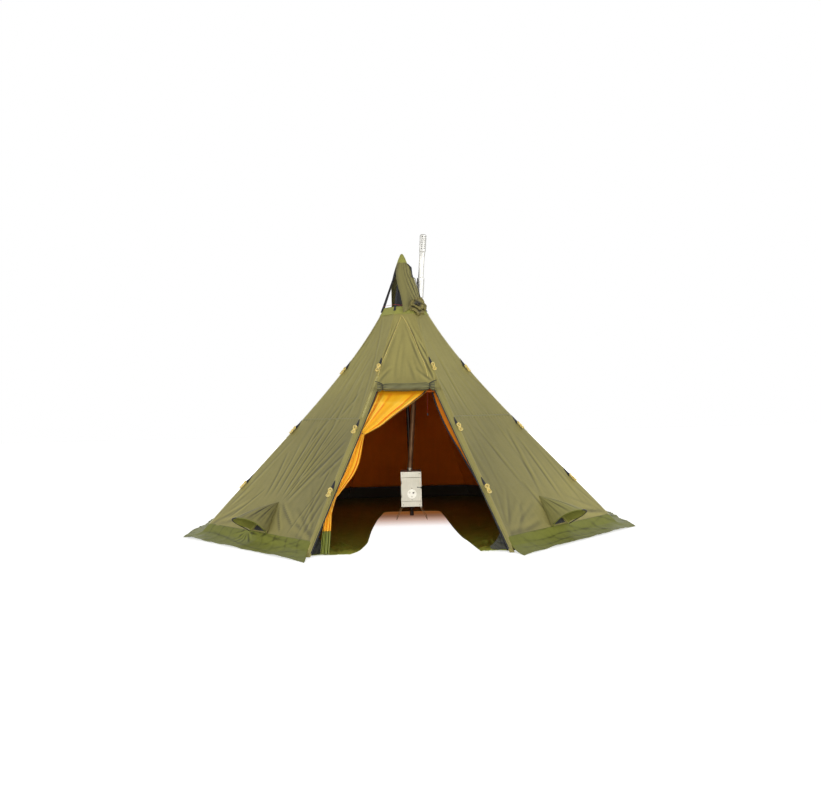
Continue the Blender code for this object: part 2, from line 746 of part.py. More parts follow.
def cap_body(finish):
    """The cap: one ring of cloth below the peak, then a front flap and a back flap.

    The straps of the crown come out through slots in the back flap.
    """
    front = np.linspace(0, 1, 16)
    straps = [strap_azimuth(ridge) for ridge in (3, 4, 5)]
    back = [CAP_BACK_START]
    for middle, after in zip(straps, [*straps[1:], 2 * CAP_BACK_END - straps[-1]], strict=True):
        back += [middle - CAP_SLOT_HALF, middle + CAP_SLOT_HALF, (middle + after) / 2]
    gap_right = np.linspace(CAP_RIGHT_TURN, CAP_BACK_START, 5)[1:-1]
    gap_left = np.linspace(CAP_BACK_END, 360 - CAP_LEFT_TURN, 3)[1:-1]
    others = np.concatenate([gap_right, back, gap_left])
    ring = [cap_ring_foot(), (cap_ring_foot() + CAP_SEAM_HEIGHT) / 2, CAP_SEAM_HEIGHT]
    shares = np.array([1.0, 0.9, 0.78, 0.64, 0.48, 0.3, 0.12])
    top = len(shares)
    columns = len(front) + len(others)
    grid = np.empty((top + len(ring), columns, 3))
    for column in range(columns):
        in_front = column < len(front)
        foot = front_foot(front[column]) if in_front else CAP_BACK_FOOT
        heights = cap_ring_foot() + (foot - cap_ring_foot()) * shares
        if not in_front:
            heights[-2:] = CAP_SLOT_FOOT, CAP_SLOT_TOP
            heights[:-2] = np.linspace(foot, CAP_SLOT_FOOT, top - 1)[:-1]
        for row, height in enumerate([*heights, *ring]):
            if in_front:
                azimuth = front_turn(front[column], height)
                low = (cap_ring_foot() - height) / (cap_ring_foot() - CAP_FRONT_FOOT)
                gathered = np.clip(2 * front[column] - 0.9, 0, 1) * np.clip(low, 0, 1)
                radius = cap_radius(azimuth, height)
                radius += CAP_PLEAT * gathered * math.cos(math.pi * column)
            else:
                azimuth = others[column - len(front)]
                radius = cap_radius(azimuth, height)
                if azimuth > CAP_BACK_END and row >= top:
                    azimuth -= 360
                    share = (azimuth + 360 - CAP_BACK_END) / (360 - CAP_LEFT_TURN - CAP_BACK_END)
                    radius += share * (cap_radius(-CAP_LEFT_TURN, height) - radius)
            turn = math.radians(azimuth)
            grid[row, column] = (
                POLE_HEAD.x + radius * math.sin(turn), -radius * math.cos(turn), height
            )
    keep = np.ones((len(grid) - 1, columns), bool)
    cells = np.arange(columns)
    first_back = len(front) + len(gap_right)
    last_back = first_back + len(back) - 1
    slit = ((cells >= len(front) - 1) & (cells < first_back)) | (cells >= last_back)
    keep[:top, slit] = False
    # each slot is one cell wide and one cell high
    slots = [first_back + 1 + 3 * number for number in range(len(straps))]
    keep[top - 2, slots] = False
    return sheet("cap_body", grid, finish, keep=keep, wrap=True)


def cap_peak(finish):
    """The lime tip of the cap: a cone with full sides and a rounded point."""
    foot = CAP_SEAM_HEIGHT + GAP
    rise = CAP_TIP_HEIGHT - foot
    outer = [(1.0, 0.0), (0.84, 0.26), (0.62, 0.55), (0.36, 0.84), (0.16, 0.97)]
    profile = [(0.0, CAP_TIP_HEIGHT)]
    profile += [(CAP_SEAM_RADIUS * r, foot + rise * h) for r, h in outer[::-1]]
    profile += [(CAP_SEAM_RADIUS * r - FABRIC, foot + (rise - 0.004) * h) for r, h in outer]
    profile += [(0.0, CAP_TIP_HEIGHT - 0.006)]
    return turned("cap_peak", profile, finish, (POLE_HEAD.x, 0, 0), steps=16)


def smoke_mesh(finish):
    """A cone of dark mesh that hangs from the pole's head and closes the smoke hole."""
    turn = np.linspace(0, 2 * math.pi, 16, endpoint=False)
    top = POLE_HEAD.z - HEAD_HEIGHT - 0.012
    rows = []
    for share in (0.0, 0.35, 0.7, 1.0):
        height = MESH_FOOT_HEIGHT + share * (top - MESH_FOOT_HEIGHT)
        radius = MESH_FOOT_RADIUS + (MESH_TOP_RADIUS - MESH_FOOT_RADIUS) * share**0.8
        centre = pole_point(height) * (0.3 + 0.7 * share)
        ripple = 1 + 0.05 * (1 - share) * np.cos(4 * turn)
        rows.append(
            np.stack(
                [
                    centre.x + radius * ripple * np.sin(turn),
                    centre.y - radius * ripple * np.cos(turn),
                    np.full(len(turn), height),
                ],
                1,
            )
        )
    # the neck closes on the pole's tube
    centre = pole_point(top + 0.004)
    neck = POLE_RADIUS - POLE_WALL - POLE_FIT + FABRIC + 2 * GAP
    rows.append(
        np.stack(
            [centre.x + neck * np.sin(turn), centre.y - neck * np.cos(turn), np.full(16, top + 0.004)],
            1,
        )
    )
    return sheet("smoke_mesh", np.array(rows), finish, wrap=True)


def cap_cord(name, points, finish):
    """A cord from the cap's front point that lies over the cloth to its tie."""
    return wire(name, points, CAP_CORD_DIAMETER / 2, finish)


# The inner tent


def inner_side(side, finish):
    across = np.linspace(-1, 1, 5)
    rows = []
    for height in rows_between(TUB_HEIGHT + GAP, INNER_TOP):
        share = height / INNER_TOP
        bow = -SIDE_BOW * (1 - across**2) * math.sin(math.pi * share)
        reach = across * half_side(height, inner_radius)
        rows.append(on_side(side, reach, height, inner_radius, bow))
    return sheet(f"inner_side_{side}", np.array(rows), finish)


def inner_edge_half(height):
    """Half of the inner doorway's width at a height."""
    ridge = half_side(height, inner_radius)
    share = (INNER_DOOR_TOP - height) / (INNER_DOOR_TOP - INNER_DOOR_CLOSE)
    low = half_side(INNER_DOOR_CLOSE, inner_radius)
    return np.minimum(INNER_DOOR_HALF + (low - INNER_DOOR_HALF) * share, ridge - INNER_EDGE)


def inner_front(finish):
    """The inner tent's door side: its gable, and an edge down each ridge."""
    low_rows = rows_between(FLOOR_THICK + FLOOR_EDGE_RISE + FABRIC + GAP, INNER_DOOR_TOP, 4)
    high_rows = rows_between(INNER_DOOR_TOP, INNER_TOP, 3)[1:]
    middle = np.linspace(-1, 1, 7)
    rows = []
    for height in np.concatenate([low_rows, high_rows]):
        ridge = half_side(height, inner_radius)
        door = inner_edge_half(min(height, INNER_DOOR_TOP))
        door = min(door, ridge - 0.25 * INNER_EDGE)
        reach = np.concatenate([[-ridge], middle * door, [ridge]])
        rows.append(on_side(0, reach, height, inner_radius))
    keep = np.ones((len(rows) - 1, 8), bool)
    keep[: len(low_rows) - 1, 1:-1] = False
    return sheet("inner_front", np.array(rows), finish, keep=keep)


def inner_crown(finish):
    """A level collar of cloth that hangs the inner tent's top from the outer tent."""
    height = INNER_TOP + FABRIC + GAP
    inner = inner_radius(INNER_TOP) - 0.012
    outer = fly_radius(height + FABRIC) - (FABRIC * 1.6 + SIDE_BOW * 0.35 + GAP)
    turn = (np.arange(SIDES) * 2 + 1) * HALF
    rows = [
        np.stack([radius * np.sin(turn), -radius * np.cos(turn), np.full(SIDES, height)], 1)
        for radius in (outer, inner)
    ]
    return sheet("inner_crown", np.array(rows), finish, wrap=True)


def drape_width(height):
    """How wide the drawn-aside door is: narrow at its tie and again at its low pinch."""
    if height > DRAPE_TIE:
        share = (height - DRAPE_TIE) / (INNER_DOOR_TOP - DRAPE_TIE)
        return DRAPE_TIE_WIDTH + (DRAPE_TOP_WIDTH - DRAPE_TIE_WIDTH) * share**0.85
    if height > DRAPE_PINCH:
        share = (height - DRAPE_PINCH) / (DRAPE_TIE - DRAPE_PINCH)
        return DRAPE_PINCH_WIDTH + (DRAPE_TIE_WIDTH - DRAPE_PINCH_WIDTH) * share**0.4
    share = 1 - height / DRAPE_PINCH
    return DRAPE_PINCH_WIDTH + (DRAPE_FOOT_WIDTH - DRAPE_PINCH_WIDTH) * share**0.8


def inner_door(finish):
    """The inner door drawn to one side: a curtain pinched at its tie and again low down."""
    top = INNER_DOOR_TOP - GAP
    upper = DRAPE_TIE + (top - DRAPE_TIE) * np.array([1.0, 0.7, 0.4, 0.18, 0.05])
    middle = DRAPE_PINCH + (DRAPE_TIE - DRAPE_PINCH) * np.array([0.85, 0.55, 0.25, 0.0])
    lower = DRAPE_FOOT + (DRAPE_PINCH - DRAPE_FOOT) * np.array([0.7, 0.35, 0.0])
    share = np.linspace(0, 1, 13)
    rows = []
    for height in np.concatenate([upper, middle, lower])[::-1]:
        wide = drape_width(height)
        reach = -inner_edge_half(height) + DRAPE_INSET + wide * share
        fold = DRAPE_FOLD * np.cos(2 * math.pi * 3 * share) * min(1.0, 0.35 + 2 * wide)
        stand = min(1.0, (top - height) / 0.1)
        rows.append(on_side(0, reach, height, inner_radius, stand * (3 * DRAPE_FOLD + fold)))
    return sheet("inner_door", np.array(rows), finish, FABRIC)


def ground_sheet(finish):
    """The inner tent's floor, with the slot that keeps the stove on bare ground.

    Round all sides but the door's its cloth goes up the walls like the side of a tub.
    """
    level = FLOOR_THICK + FLOOR_EDGE_RISE
    radius = float(inner_radius(0.0)) + FABRIC / 2
    turn = (np.arange(SIDES) * 2 + 1) * HALF
    corners = [(radius * math.sin(a), -radius * math.cos(a)) for a in turn]
    front = corners[0][1]
    slot = [
        (SLOT_SHIFT + SLOT_FRONT_HALF, front),
        (SLOT_SHIFT + SLOT_BACK_HALF + 0.04, SLOT_BACK - 0.6),
        (SLOT_SHIFT + SLOT_BACK_HALF, SLOT_BACK),
    ]
    outline = corners + [(2 * SLOT_SHIFT - x, y) for x, y in slot] + slot[::-1]
    body = bmesh.new()
    floor = body.faces.new([body.verts.new((x, y, 0.0)) for x, y in outline])
    raised = bmesh.ops.extrude_face_region(body, geom=[floor])["geom"]
    up = [part for part in raised if isinstance(part, bmesh.types.BMVert)]
    bmesh.ops.translate(body, verts=up, vec=(0, 0, level))
    bmesh.ops.recalc_face_normals(body, faces=body.faces)
    # the cloth is doubled along the floor's edge, and single inside it
    top = [face for face in body.faces if face.normal.z > 0.9]
    bmesh.ops.inset_individual(body, faces=top, thickness=FLOOR_EDGE, depth=-FLOOR_EDGE_RISE)
    bmesh.ops.triangulate(body, faces=[face for face in body.faces if len(face.verts) > 4])
    mesh = bpy.data.meshes.new("ground_sheet")
    body.to_mesh(mesh)
    body.free()
    made = new_object("ground_sheet", mesh, finish, smooth=False)
    rows = []
    for height in (level - FLOOR_EDGE_RISE / 2, TUB_HEIGHT):
        ends = [
            on_side(side, hand * half_side(height, inner_radius), height, inner_radius)
            for side, hand in ((1, -1), (SIDES - 1, 1))
        ]
        reach = float(inner_radius(height))
        between = [(reach * math.sin(a), -reach * math.cos(a), height) for a in turn[1:-1]]
        rows.append([ends[0], *between, ends[1]])
    tub = sheet("floor_sides", np.array(rows), finish, FLOOR_THICK)
    combine(made, baked(tub), "UNION")
    # the two surfaces cross twice at each corner, a hair apart
    close = made.modifiers.new("close_corners", "WELD")
    close.merge_threshold = 0.00002
    return made


# The vent hoods


def on_wall(side, sideways, height):
    """A point on the outer face of a fly side, with its bow, a seam's gap off it."""
    bow = wall_bow(sideways / half_side(height), height)
    return on_side(side, sideways, height, out=bow + 2 * GAP)


def hood_arch(side, turn, trim=0.0):
    """The hood's stiff mouth: an arch that stands out and up from the wall."""
    outward, _ = side_frame(side)
    turn = np.asarray(turn, float)
    rise = np.maximum(np.sin(turn), 0)
    shift = -HOOD_SHIFT if side == 1 else HOOD_SHIFT
    wide = HOOD_HALF - trim + HOOD_BULGE * rise**2
    foot = on_wall(side, shift - wide * np.cos(turn), HOOD_FOOT)
    return (
        foot
        + ((HOOD_OUT - trim) * rise)[..., None] * outward
        + ((HOOD_UP - trim) * rise)[..., None] * np.array([0.0, 0.0, 1.0])
    )


def vent_hood(name, side, finish):
    """A cone of cloth from a point on the wall to the arch of its mouth."""
    lean = -HOOD_LEAN if side == 1 else HOOD_LEAN
    peak = on_wall(side, lean, HOOD_PEAK) + side_frame(side)[0] * FABRIC
    turn = np.linspace(0, math.pi, 13)
    arch = hood_arch(side, turn)
    shares = np.array([0, 0.35, 0.7, 1.0])
    rows = []
    for share in shares[::-1]:
        sag = 0.018 * math.sin(math.pi * share) * np.sin(turn) ** 2
        rows.append(peak + share * (arch - peak) - sag[:, None] * np.array([0, 0, 1.0]))
    return sheet(name, np.array(rows), finish)


def vent_stay(name, side, finish):
    """The rod that props a hood open, from the wall to the top of its arch."""
    outward, _ = side_frame(side)
    shift = -HOOD_SHIFT if side == 1 else HOOD_SHIFT
    foot = Vector(on_wall(side, shift, STAY_FOOT)) + Vector(outward) * STAY_RADIUS * 1.45
    top = hood_arch(side, math.pi / 2)
    tip = Vector(top) - Vector(outward) * 0.012 - Vector((0, 0, STAY_RADIUS * 0.75 + GAP))
    line = tip - foot
    length = line.length
    end = STAY_RADIUS * 0.6
    profile = [(0, length), (end, length), (STAY_RADIUS, length - end), (STAY_RADIUS, end)]
    profile += [(end, 0), (0, 0)]
    return turned(name, profile, finish, foot, line.normalized(), 8)


# The centre pole


def pole_point(height):
    share = height / POLE_HEAD.z
    return POLE_FOOT + (POLE_HEAD - POLE_FOOT) * share


def pole_direction():
    return (POLE_HEAD - POLE_FOOT).normalized()


def pole_pieces(finishes):
    line = pole_direction()
    base = POLE_FOOT
    stretch = (POLE_HEAD - POLE_FOOT).length
    metal, plastic = finishes["pole"], finishes["plastic"]
    bore = POLE_RADIUS - POLE_WALL
    slim = bore - POLE_FIT
    # the foot stands flat on the ground although the pole leans
    plug = bore - GAP
    foot_profile = [
        (0, FOOT_HEIGHT + 0.02), (plug, FOOT_HEIGHT + 0.02), (plug, FOOT_HEIGHT),
        (FOOT_RADIUS, FOOT_HEIGHT), (FOOT_RADIUS, -0.02), (0, -0.02),
    ]
    foot = turned("pole_foot", foot_profile, plastic, base, line, 20)
    ground = box("ground_cut", (-0.2, 0.0, -0.2), (0.3, 0.5, 0.0), plastic)
    combine(foot, ground, "DIFFERENCE")
    low = FOOT_HEIGHT + GAP
    clamp = POLE_SPLIT - CLAMP_HEIGHT
    lower_profile = [
        (POLE_RADIUS + 0.004, POLE_SPLIT), (POLE_RADIUS + 0.006, POLE_SPLIT - 0.01),
        (POLE_RADIUS + 0.006, clamp + 0.006), (POLE_RADIUS, clamp), (POLE_RADIUS, low),
        (bore, low), (bore, POLE_SPLIT),
    ]
    turned("pole_lower", lower_profile, metal, base, line, 20, ring=True)
    top = stretch - HEAD_HEIGHT
    upper = tube_profile(slim, slim - POLE_WALL, POLE_SPLIT - POLE_OVERLAP, top)
    turned("pole_upper", upper, metal, base, line, 20, ring=True)
    head = slim - POLE_WALL - GAP
    head_profile = [
        (0, stretch), (slim * 0.7, stretch - 0.001), (slim, stretch - 0.012), (slim, top + GAP),
        (head, top + GAP), (head, top - 0.03), (0, top - 0.03),
    ]
    turned("pole_head", head_profile, plastic, base, line, 20)
    # the flip lever of the clamp, hinged on its left cheek and closed against the tube
    place = Matrix.Translation(base) @ line.to_track_quat("Z", "Y").to_matrix().to_4x4()
    reach = POLE_RADIUS + 0.006 + GAP
    lever = box("clamp_lever", (-0.009, -0.006, 0), (0.009, 0.0, LEVER_LENGTH), plastic)
    lever.matrix_world = (
        place @ Matrix.Rotation(math.radians(-60), 4, "Z")
        @ Matrix.Translation((0, -reach, clamp - LEVER_LENGTH + CLAMP_HEIGHT * 0.72))
    )
    soften = lever.modifiers.new("soft_edges", "BEVEL")
    soften.width, soften.segments, soften.limit_method = 0.002, 1, "ANGLE"


# The stove


def flue_line():
    """Where the flue's own axis starts and its direction."""
    foot = Vector((FLUE_FOOT.x, FLUE_FOOT.y, STOVE_FOOT + STOVE_HEIGHT))
    return foot, FLUE_LEAN.normalized()


def hinge_line():
    """The stove door's hinge: X and Y of its pin."""
    outer = PIN_RADIUS + RUNNING + BARREL_WALL
    return (
        STOVE_X - STOVE_WIDTH / 2 + outer + 0.001,
        STOVE_FRONT - outer - GAP,
    )


def barrel_spans():
    """The heights of the door's two hinge barrels."""
    low = DOOR_FOOT + 0.035
    high = DOOR_FOOT + DOOR_HEIGHT - 0.035 - BARREL_LENGTH
    return ((low, low + BARREL_LENGTH), (high, high + BARREL_LENGTH))


def stove_body(finishes):
    steel = finishes["titanium"]
    left, right = STOVE_X - STOVE_WIDTH / 2, STOVE_X + STOVE_WIDTH / 2
    foot, top = STOVE_FOOT, STOVE_FOOT + STOVE_HEIGHT
    body = box("stove_body", (left, STOVE_FRONT, foot), (right, STOVE_BACK, top), steel)
    inside = box(
        "firebox",
        (left + STEEL, STOVE_FRONT + STEEL, foot + STEEL),
        (right - STEEL, STOVE_BACK - STEEL, top - STEEL),
        steel,
    )
    combine(body, inside, "DIFFERENCE")
    mouth = box(
        "mouth",
        (left + DOOR_LIP, STOVE_FRONT - 0.02, DOOR_FOOT + DOOR_LIP),
        (right - DOOR_LIP, STOVE_FRONT + 0.02, DOOR_FOOT + DOOR_HEIGHT - DOOR_LIP),
        steel,
    )
    combine(body, mouth, "DIFFERENCE")
    # the collar that the flue stands in, on the edge of a smaller hole
    base, line = flue_line()
    inner = FLUE_RADIUS + GAP
    ledge = FLUE_RADIUS - 0.003
    collar = turned(
        "collar", tube_profile(inner + 0.0015, inner, -0.006, COLLAR_HEIGHT), steel, base, line, 24,
        ring=True,
    )
    hole = turned(
        "flue_hole", [(0, 0.02), (ledge, 0.02), (ledge, -0.02), (0, -0.02)], steel, base, line, 24
    )
    combine(body, baked(collar), "UNION")
    combine(body, baked(hole), "DIFFERENCE")
    # the hinge pin stands in two ears on the front
    x, y = hinge_line()
    for number, (low, high) in enumerate(barrel_spans()):
        pin = turned(
            f"pin_{number}",
            [(0, high + 0.008), (PIN_RADIUS, high + 0.008), (PIN_RADIUS, low - 0.008), (0, low - 0.008)],
            steel, (x, y, 0), (0, 0, 1), 8,
        )
        combine(body, baked(pin), "UNION")
        for end, z in enumerate((low - 0.006, high + 0.0012)):
            ear = box(
                f"ear_{number}_{end}",
                (x - PIN_RADIUS - 0.001, y - PIN_RADIUS - 0.001, z),
                (x + PIN_RADIUS + 0.001, STOVE_FRONT + STEEL / 2, z + 0.0048),
                steel,
            )
            combine(body, ear, "UNION")
    # lugs under the bottom hold the folding legs
    for hand in (-1, 1):
        for y in leg_ends(hand):
            px, pz = leg_pivot(hand)
            outer = LEG_WIRE + RUNNING + BARREL_WALL
            lug = turned(
                f"lug_{hand}_{y:.2f}",
                [(0, 0.006), (outer, 0.006), (outer, -0.006), (0, -0.006)],
                steel, (px, y, pz), (0, 1, 0), 10,
            )
            combine(body, baked(lug), "UNION")
            neck = box(
                f"neck_{hand}_{y:.2f}",
                (px - outer * 0.7, y - 0.005, pz), (px + outer * 0.7, y + 0.005, foot + STEEL / 2), steel,
            )
            combine(body, neck, "UNION")
            bore = turned(
                f"bore_{hand}_{y:.2f}",
                [(0, 0.01), (LEG_WIRE + RUNNING, 0.01), (LEG_WIRE + RUNNING, -0.01), (0, -0.01)],
                steel, (px, y, pz), (0, 1, 0), 10,
            )
            combine(body, baked(bore), "DIFFERENCE")
    return body


def leg_pivot(hand):
    """X and Z of a leg's pivot; the right one hangs lower, so both fold flat."""
    level = STOVE_FOOT - (LEG_WIRE + RUNNING + BARREL_WALL) - 0.001
    if hand > 0:
        level -= 2 * LEG_WIRE + 0.002
    return STOVE_X + hand * (STOVE_WIDTH / 2 - 0.012), level


def leg_ends(hand):
    """Y of a leg's two pivots; the left leg is the narrower one."""
    inset = LEG_INSET + (0.0 if hand > 0 else 0.022)
    return STOVE_FRONT + inset, STOVE_BACK - inset


def stove_leg(name, hand, finish):
    """A bent wire: two legs, the bar between their feet and a short pin at each top."""
    px, pz = leg_pivot(hand)
    front, back = leg_ends(hand)
    foot_x = px + hand * LEG_SPREAD * 0.9
    foot_z = LEG_WIRE + 0.0001
    step = 0.012
    points = [
        (px, front + 0.014 - 0.006, pz), (px, front - 0.009, pz),
        (px + hand * 0.004, front - 0.0115, pz - 0.012),
        (foot_x - hand * 0.004, front - 0.0115, foot_z + 0.012), (foot_x, front - 0.006 + step, foot_z),
        (foot_x, back + 0.006 - step, foot_z), (foot_x - hand * 0.004, back + 0.0115, foot_z + 0.012),
        (px + hand * 0.004, back + 0.0115, pz - 0.012), (px, back + 0.009, pz),
        (px, back - 0.014 + 0.006, pz),
    ]
    return wire(name, points, LEG_WIRE, finish, sides=2)


def stove_door(finishes):
    """The front plate, with its hinge barrels and the holes behind the draught disc."""
    steel = finishes["titanium"]
    x, y = hinge_line()
    outer = PIN_RADIUS + RUNNING + BARREL_WALL
    right = STOVE_X + STOVE_WIDTH / 2 - 0.001
    front = STOVE_FRONT - GAP - 2 * STEEL
    door = box(
        "stove_door",
        (x + outer * 0.4, front, DOOR_FOOT + 2 * GAP),
        (right, STOVE_FRONT - GAP, DOOR_FOOT + DOOR_HEIGHT - 2 * GAP),
        steel,
    )
    # room round the pin, its ears and the barrels
    clear = outer + 0.001
    for number, (low, high) in enumerate(barrel_spans()):
        room = box(
            f"room_{number}",
            (x - clear, front - 0.02, low - 0.009),
            (x + clear, STOVE_FRONT + 0.01, high + 0.009),
            steel,
        )
        combine(door, room, "DIFFERENCE")
    for number, (low, high) in enumerate(barrel_spans()):
        barrel = turned(
            f"barrel_{number}", [(0, high), (outer, high), (outer, low), (0, low)],
            steel, (x, y, 0), (0, 0, 1), 12,
        )
        combine(door, baked(barrel), "UNION")
        leaf = box(
            f"leaf_{number}", (x, y - 0.001, low + 0.001),
            (x + clear + 0.004, STOVE_FRONT - GAP - STEEL, high - 0.001), steel,
        )
        combine(door, leaf, "UNION")
        bore = turned(
            f"pin_bore_{number}",
            [
                (0, high + 0.01),
                (PIN_RADIUS + RUNNING, high + 0.01),
                (PIN_RADIUS + RUNNING, low - 0.01),
                (0, low - 0.01),
            ],
            steel, (x, y, 0), (0, 0, 1), 12,
        )
        combine(door, baked(bore), "DIFFERENCE")
    for number in range(3):
        turn = math.radians(90 + 120 * number)
        hole_x = DISC_X + HOLE_CIRCLE * math.cos(turn)
        hole_z = DISC_Z + HOLE_CIRCLE * math.sin(turn)
        combine(door, disc_cut(f"air_{number}", hole_x, hole_z, front), "DIFFERENCE")
    return door


def disc_cut(name, x, z, front):
    """A round cutter across the door's plate."""
    profile = [(0, 0.02), (HOLE_RADIUS, 0.02), (HOLE_RADIUS, -0.02), (0, -0.02)]
    return baked(turned(name, profile, None, (x, front, z), (0, 1, 0), 12))


def draught_disc(finishes):
    """A disc that turns on a rivet to uncover the door's three air holes."""
    front = STOVE_FRONT - GAP - 2 * STEEL
    level = front - GAP
    thick = STEEL
    profile = [
        (0, thick), (DISC_RADIUS, thick), (DISC_RADIUS, 0), (0, 0),
    ]
    disc = turned("draught_disc", profile, finishes["titanium"], (DISC_X, level, DISC_Z), (0, -1, 0), 32)
    for number in range(3):
        turn = math.radians(30 + 120 * number)
        hole_x = DISC_X + HOLE_CIRCLE * math.cos(turn)
        hole_z = DISC_Z + HOLE_CIRCLE * math.sin(turn)
        combine(disc, disc_cut(f"disc_hole_{number}", hole_x, hole_z, level), "DIFFERENCE")
    knob = turned(
        "disc_knob",
        [
            (0, 0.014),
            (0.004, 0.014),
            (0.0055, 0.011),
            (0.0055, 0.0055),
            (0.003, 0.004),
            (0.003, thick / 2),
            (0, thick / 2),
        ],
        finishes["plastic"], (DISC_X + 0.014, level, DISC_Z + 0.010), (0, -1, 0), 10,
    )
    combine(disc, baked(knob), "UNION")
    return disc


def door_latch(finishes):
    """The latch: a bar on a pivot, with its knob past the door's right edge."""
    front = STOVE_FRONT - GAP - 2 * STEEL
    level = front - GAP
    bar = box(
        "door_latch",
        (LATCH_X - 0.006, level - 0.003, LATCH_Z - 0.004),
        (LATCH_X + LATCH_REACH, level, LATCH_Z + 0.004),
        finishes["titanium"],
    )
    pivot = turned(
        "latch_pivot", [(0, 0.006), (0.005, 0.006), (0.0065, 0.003), (0.0065, 0.0005), (0, 0.0005)],
        finishes["titanium"], (LATCH_X, level, LATCH_Z), (0, -1, 0), 12,
    )
    combine(bar, baked(pivot), "UNION")
    knob = turned(
        "latch_knob",
        [
            (0, 0.02),
            (KNOB_RADIUS * 0.7, 0.019),
            (KNOB_RADIUS, 0.014),
            (KNOB_RADIUS, 0.006),
            (0.004, 0.001),
            (0, 0.001),
        ],
        finishes["plastic"], (LATCH_X + LATCH_REACH - 0.006, level, LATCH_Z), (0, -1, 0), 12,
    )
    combine(bar, baked(knob), "UNION")
    return bar


# The flue


def beaded_tube(start, end, outer, wall, socket):
    """A flue pipe's profile: a bead every so often and, if socket, a wide lower end."""
    inner = outer - wall
    top = [(outer, end)]
    beads = np.arange(BEAD_SPACING, FLUE_LENGTH, BEAD_SPACING)
    for place in beads[::-1]:
        if start + SOCKET + 0.03 < place < min(end - SOCKET, GUARD_START) - 0.03:
            top += [
                (outer, place + BEAD_HEIGHT), (outer + BEAD_RISE, place + BEAD_HEIGHT * 0.5),
                (outer, place),
            ]
    if socket:
        wide = outer + GAP + wall
        mouth = [
            (outer, start + SOCKET + 0.008), (wide, start + SOCKET), (wide, start),
            (outer + GAP, start), (outer + GAP, start + SOCKET - 0.004),
            (inner, start + SOCKET + 0.004),
        ]
        return [*top, *mouth, (inner, end)]
    return [*top, (outer, start), (inner, start), (inner, end)]


def flue_pieces(finishes):
    metal = finishes["flue"]
    base, line = flue_line()
    tilt = math.hypot(FLUE_LEAN.x, FLUE_LEAN.y)
    lower = beaded_tube(FLUE_RADIUS * tilt + GAP, FLUE_JOINT, FLUE_RADIUS, FLUE_WALL, False)
    turned("flue_lower", lower, metal, base, line, 20, ring=True)
    upper = beaded_tube(FLUE_JOINT - SOCKET + 0.005 + GAP, FLUE_LENGTH, FLUE_RADIUS, FLUE_WALL, True)
    turned("flue_upper", upper, metal, base, line, 20, ring=True)
    # the guard stands off the pipe on its turned-in ends
    start, end, near = GUARD_START, GUARD_START + GUARD_LENGTH, FLUE_RADIUS + RUNNING
    guard = [
        (near + 0.001, end), (GUARD_RADIUS, end - 0.006), (GUARD_RADIUS, start + 0.006),
        (near + 0.001, start), (near, start + 0.001), (near, start + 0.002),
        (GUARD_RADIUS - FLUE_WALL, start + 0.008), (GUARD_RADIUS - FLUE_WALL, end - 0.008),
        (near, end - 0.002), (near, end - 0.001),
    ]
    turned("flue_guard", guard, metal, base, line, 20, ring=True)
    spark_arrestor(metal, base, line)


def spark_arrestor(finish, base, line):
    """A perforated cage on the flue's end: a tube with rows of holes and a closed top."""
    start = FLUE_LENGTH - 0.045
    columns = 2 * ARRESTOR_HOLES
    rows = 2 * ARRESTOR_ROWS + 1
    turn = np.linspace(0, 2 * math.pi, columns, endpoint=False)
    neck = (FLUE_RADIUS + RUNNING + FLUE_WALL) / math.cos(math.pi / columns)
    seat = FLUE_LENGTH + GAP
    heights = np.linspace(seat + 0.02, start + ARRESTOR_LENGTH - 0.012, rows + 1)
    profile = [(neck, start), (neck, seat - 0.004), (ARRESTOR_RADIUS, seat + 0.008)]
    profile += [(ARRESTOR_RADIUS, height) for height in heights]
    profile += [(ARRESTOR_RADIUS * 0.8, start + ARRESTOR_LENGTH)]
    grid = np.array(
        [
            np.stack([r * np.cos(turn), r * np.sin(turn), np.full(columns, h)], 1)
            for r, h in profile
        ]
    )
    keep = np.ones((len(profile) - 1, columns), bool)
    first = 3
    for row in range(ARRESTOR_ROWS):
        keep[first + 2 * row + 1, ::2] = False
    mesh = sheet_mesh("spark_arrestor", grid, keep, wrap=True)
    body = bmesh.new()
    body.from_mesh(mesh)
    high = max(vertex.co.z for vertex in body.verts)
    rim = [e for e in body.edges if e.is_boundary and all(v.co.z > high - 1e-5 for v in e.verts)]
    bmesh.ops.holes_fill(body, edges=rim)
    body.to_mesh(mesh)
    body.free()
    made = new_object("spark_arrestor", mesh, finish)
    wall = made.modifiers.new("thickness", "SOLIDIFY")
    wall.thickness = FLUE_WALL
    wall.offset = -1.0
    made.matrix_world = Matrix.Translation(base) @ line.to_track_quat("Z", "Y").to_matrix().to_4x4()
    return made


# Cords inside the doorway and from the cap


def pull_cord(finishes):
    """A red cord with a toggle that hangs inside the doorway."""
    level = float(inner_radius(INNER_DOOR_TOP)) * math.cos(HALF)
    top = INNER_DOOR_TOP - FABRIC - GAP
    y = -level + FABRIC * 0.6
    x = PULL_X
    points = [(x, y, top), (x, y, top - 0.02), (x - 0.001, y + 0.002, top - 0.07),
              (x - 0.002, y + 0.003, top - 0.13), (x - 0.002, y + 0.003, top - PULL_LENGTH)]
    wire("pull_cord", points, PULL_DIAMETER / 2, finishes["red"], sides=1)
    r, h = TOGGLE_RADIUS, TOGGLE_LENGTH
    profile = [(0, 0), (r * 0.6, 0), (r, -h * 0.2), (r, -h * 0.8), (r * 0.6, -h), (0, -h)]
    turned(
        "pull_toggle", profile, finishes["plastic"],
        (x - 0.002, y + 0.003, top - PULL_LENGTH - GAP), (0, 0, 1), 10,
    )


